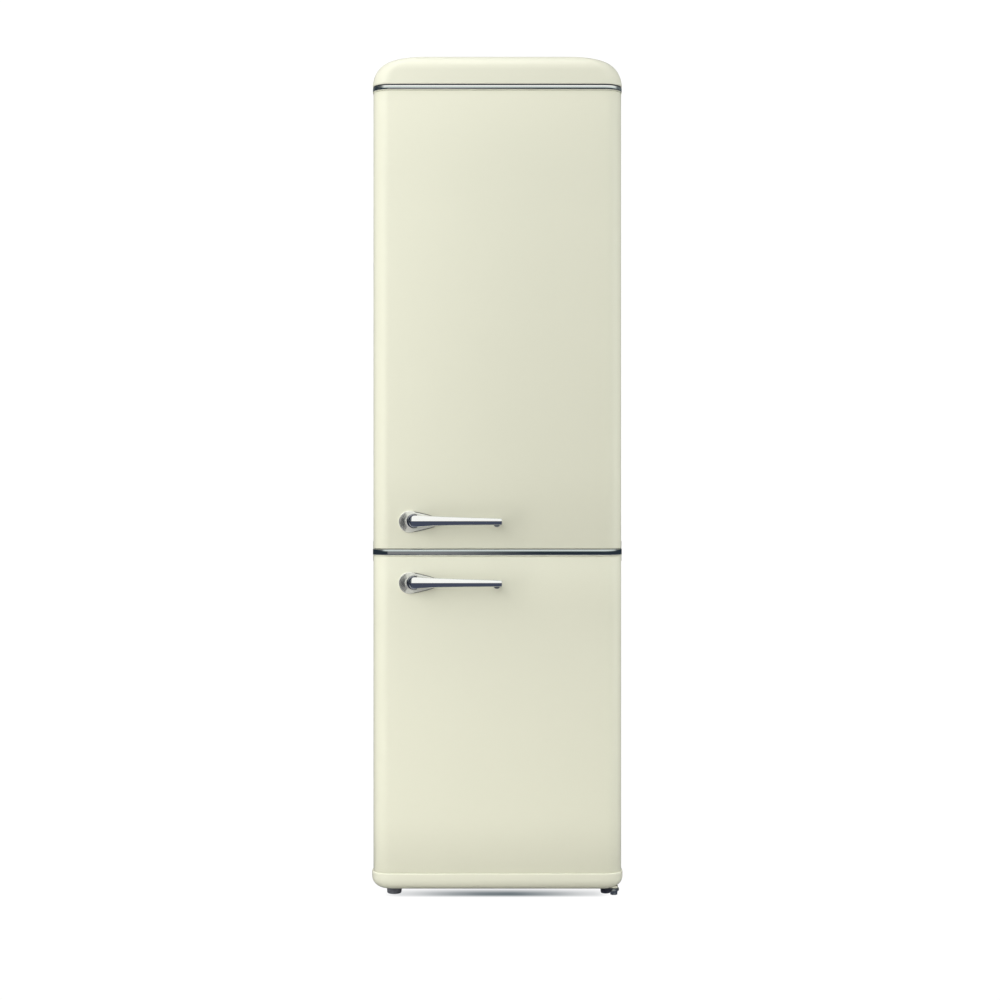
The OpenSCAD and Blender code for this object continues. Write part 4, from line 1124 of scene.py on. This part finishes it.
# soft contact shade under the front of the base
near = sstep(sp.outputs["Y"], -0.262, -0.232)
far = sstep(sp.outputs["Y"], -0.222, -0.160, 1.0, 0.0)
across = sstep(nmath("ABSOLUTE", nmath("SUBTRACT", sp.outputs["X"], 0.004)), 0.02, 0.275, 0.83, 0.22)
edge = sstep(nmath("ABSOLUTE", sp.outputs["X"]), 0.215, 0.262, 1.0, 0.0)
ns = nt.nodes.new("ShaderNodeTexNoise")
ns.inputs["Scale"].default_value = 9.0
nt.links.new(tcf.outputs["Object"], ns.inputs["Vector"])
ripple = nmath("MULTIPLY_ADD", ns.outputs["Fac"], 0.14, 0.93)
amount = nmath("MULTIPLY", nmath("MULTIPLY", nmath("MULTIPLY", near, far), nmath("MULTIPLY", across, edge)), ripple)
mc = nt.nodes.new("ShaderNodeMix")
mc.data_type = "RGBA"
mc.inputs[6].default_value = (1.03, 1.03, 1.03, 1)
mc.inputs[7].default_value = (0.0, 0.035, 0.055, 1)
nt.links.new(amount, mc.inputs[0])
em = nt.nodes.new("ShaderNodeEmission")
nt.links.new(mc.outputs[2], em.inputs["Color"])
lp = nt.nodes.new("ShaderNodeLightPath")
df = nt.nodes.new("ShaderNodeBsdfDiffuse")
df.inputs["Color"].default_value = (0.34, 0.335, 0.31, 1)
mix = nt.nodes.new("ShaderNodeMixShader")
nt.links.new(lp.outputs["Is Camera Ray"], mix.inputs[0])
nt.links.new(df.outputs[0], mix.inputs[1])
nt.links.new(em.outputs[0], mix.inputs[2])
nt.links.new(mix.outputs[0], nt.nodes["Material Output"].inputs["Surface"])
floor.visible_glossy = False
me.materials.append(fm)

world = bpy.data.worlds.new("studio")
scene.world = world
world.use_nodes = True
nt = world.node_tree
for n in list(nt.nodes):
    nt.nodes.remove(n)
out = nt.nodes.new("ShaderNodeOutputWorld")
tc = nt.nodes.new("ShaderNodeTexCoord")
sep = nt.nodes.new("ShaderNodeSeparateXYZ")
nt.links.new(tc.outputs["Generated"], sep.inputs[0])
lp = nt.nodes.new("ShaderNodeLightPath")


def mth(op, a, b=None, clamp=False):
    m = nt.nodes.new("ShaderNodeMath")
    m.operation = op
    m.use_clamp = clamp
    for k, q in enumerate((a, b)):
        if q is None:
            continue
        if isinstance(q, (int, float)):
            m.inputs[k].default_value = q
        else:
            nt.links.new(q, m.inputs[k])
    return m.outputs[0]


def wstep(x, a, b2, lo=0.0, hi=1.0):
    m = nt.nodes.new("ShaderNodeMapRange")
    m.interpolation_type = "SMOOTHSTEP"
    m.inputs["From Min"].default_value = a
    m.inputs["From Max"].default_value = b2
    m.inputs["To Min"].default_value = lo
    m.inputs["To Max"].default_value = hi
    nt.links.new(x, m.inputs["Value"])
    return m.outputs["Result"]


# soft dome: a little brighter from the left and from above
DOME = 0.385
left = mth("MULTIPLY", sep.outputs["X"], -0.10)
up = mth("MULTIPLY", sep.outputs["Z"], 0.16)
dome = mth("MAXIMUM", mth("ADD", mth("ADD", left, up), DOME), 0.10)
# what polished surfaces see: a bright ceiling in front, a dark low horizon that is greyer to the left, nothing behind
ceil = mth("MULTIPLY", wstep(sep.outputs["Z"], 0.05, 0.16), wstep(sep.outputs["Y"], -0.35, 0.15, 1.0, 0.16))
ceil = mth("MULTIPLY", ceil, wstep(sep.outputs["X"], -0.92, -0.60, 0.1, 1.0))
horizon = wstep(sep.outputs["X"], -0.070, 0.045, 0.20, 0.0)
horizon = mth("MULTIPLY", horizon, mth("MULTIPLY", wstep(sep.outputs["Z"], -0.16, -0.08), wstep(sep.outputs["X"], -0.45, -0.25)))


def cmix(fac, a, b2):
    m = nt.nodes.new("ShaderNodeMix")
    m.data_type = "RGBA"
    nt.links.new(fac, m.inputs[0])
    for k, q in ((6, a), (7, b2)):
        if isinstance(q, tuple):
            m.inputs[k].default_value = q
        else:
            nt.links.new(q, m.inputs[k])
    return m.outputs[2]


low = cmix(wstep(sep.outputs["Z"], -0.30, -0.07), (0.066, 0.076, 0.112, 1), (0.022, 0.032, 0.042, 1))
low = cmix(horizon, low, (1.0, 1.0, 0.97, 1))
glc = cmix(ceil, low, cmix(wstep(sep.outputs["Z"], 0.27, 0.42), (0.70, 0.78, 0.73, 1), (1.07, 1.07, 1.0, 1)))
bg1 = nt.nodes.new("ShaderNodeBackground")
bg1.inputs["Color"].default_value = (1.0, 0.998, 0.99, 1)
nt.links.new(dome, bg1.inputs["Strength"])
bg2 = nt.nodes.new("ShaderNodeBackground")
nt.links.new(glc, bg2.inputs["Color"])
bg2.inputs["Strength"].default_value = 1.0
bg3 = nt.nodes.new("ShaderNodeBackground")
bg3.inputs["Color"].default_value = (1, 1, 1, 1)
bg3.inputs["Strength"].default_value = 1.05
m1 = nt.nodes.new("ShaderNodeMixShader")
nt.links.new(lp.outputs["Is Glossy Ray"], m1.inputs[0])
nt.links.new(bg1.outputs[0], m1.inputs[1])
nt.links.new(bg2.outputs[0], m1.inputs[2])
m2 = nt.nodes.new("ShaderNodeMixShader")
nt.links.new(lp.outputs["Is Camera Ray"], m2.inputs[0])
nt.links.new(m1.outputs[0], m2.inputs[1])
nt.links.new(bg3.outputs[0], m2.inputs[2])
nt.links.new(m2.outputs[0], out.inputs["Surface"])


def area(name, loc, target, sx, sy, power, col=(1, 1, 1), glossy=True):
    ld = bpy.data.lights.new(name, "AREA")
    ld.shape = "RECTANGLE"
    ld.size, ld.size_y = sx, sy
    ld.energy = power
    ld.color = col
    ob = bpy.data.objects.new(name, ld)
    ob.location = loc
    d = Vector(target) - Vector(loc)
    ob.rotation_euler = d.to_track_quat("-Z", "Y").to_euler()
    scene.collection.objects.link(ob)
    ob.visible_camera = False
    ob.visible_glossy = glossy
    return ob


KEY, TOPL, FILL, LOW = 24.0, 19.0, 17.0, 1.0
area("key_left", (-1.28, -1.18, 1.12), (0.0, -0.27, 1.07), 0.5, 3.0, KEY, (1.0, 0.997, 0.975), glossy=False)
area("top_soft", (-0.2, -0.42, 3.3), (0, -0.1, 1.2), 1.8, 1.0, TOPL, (1, 1, 1), glossy=False)
area("fill_right", (1.5, -0.52, 0.95), (0.25, -0.2, 0.95), 0.4, 2.6, FILL, (0.985, 1.0, 0.995), glossy=False)
low_light = area("low_front", (-0.1, -1.5, 0.45), (0.0, -0.27, 0.06), 1.4, 0.3, LOW, (1.0, 0.985, 0.965), glossy=False)
low_light.data.spread = math.radians(75)

area("front_soft", (-0.25, -2.0, 1.45), (0.0, -0.27, 1.30), 1.6, 1.3, 5.9, (1.0, 1.0, 0.985), glossy=False)
area("rear_soft", (0.5, 2.7, 1.25), (0.0, 0.3, 0.95), 1.6, 1.8, 16.0, (1.0, 1.0, 1.0), glossy=False)

cam_d = bpy.data.cameras.new("camera")
cam = bpy.data.objects.new("camera", cam_d)
scene.collection.objects.link(cam)
cam_d.sensor_width = 36.0
DIST = 4.0
cam_d.lens = 450.0 * DIST * 36.0 / 1000.0
cam.location = (0.0, -0.235 - DIST, 0.930)
cam.rotation_euler = (math.radians(90), 0, 0)
cam_d.shift_x = 0.0027
cam_d.shift_y = -0.0235
scene.camera = cam
scene.view_settings.view_transform = "Standard"
scene.view_settings.look = "None"
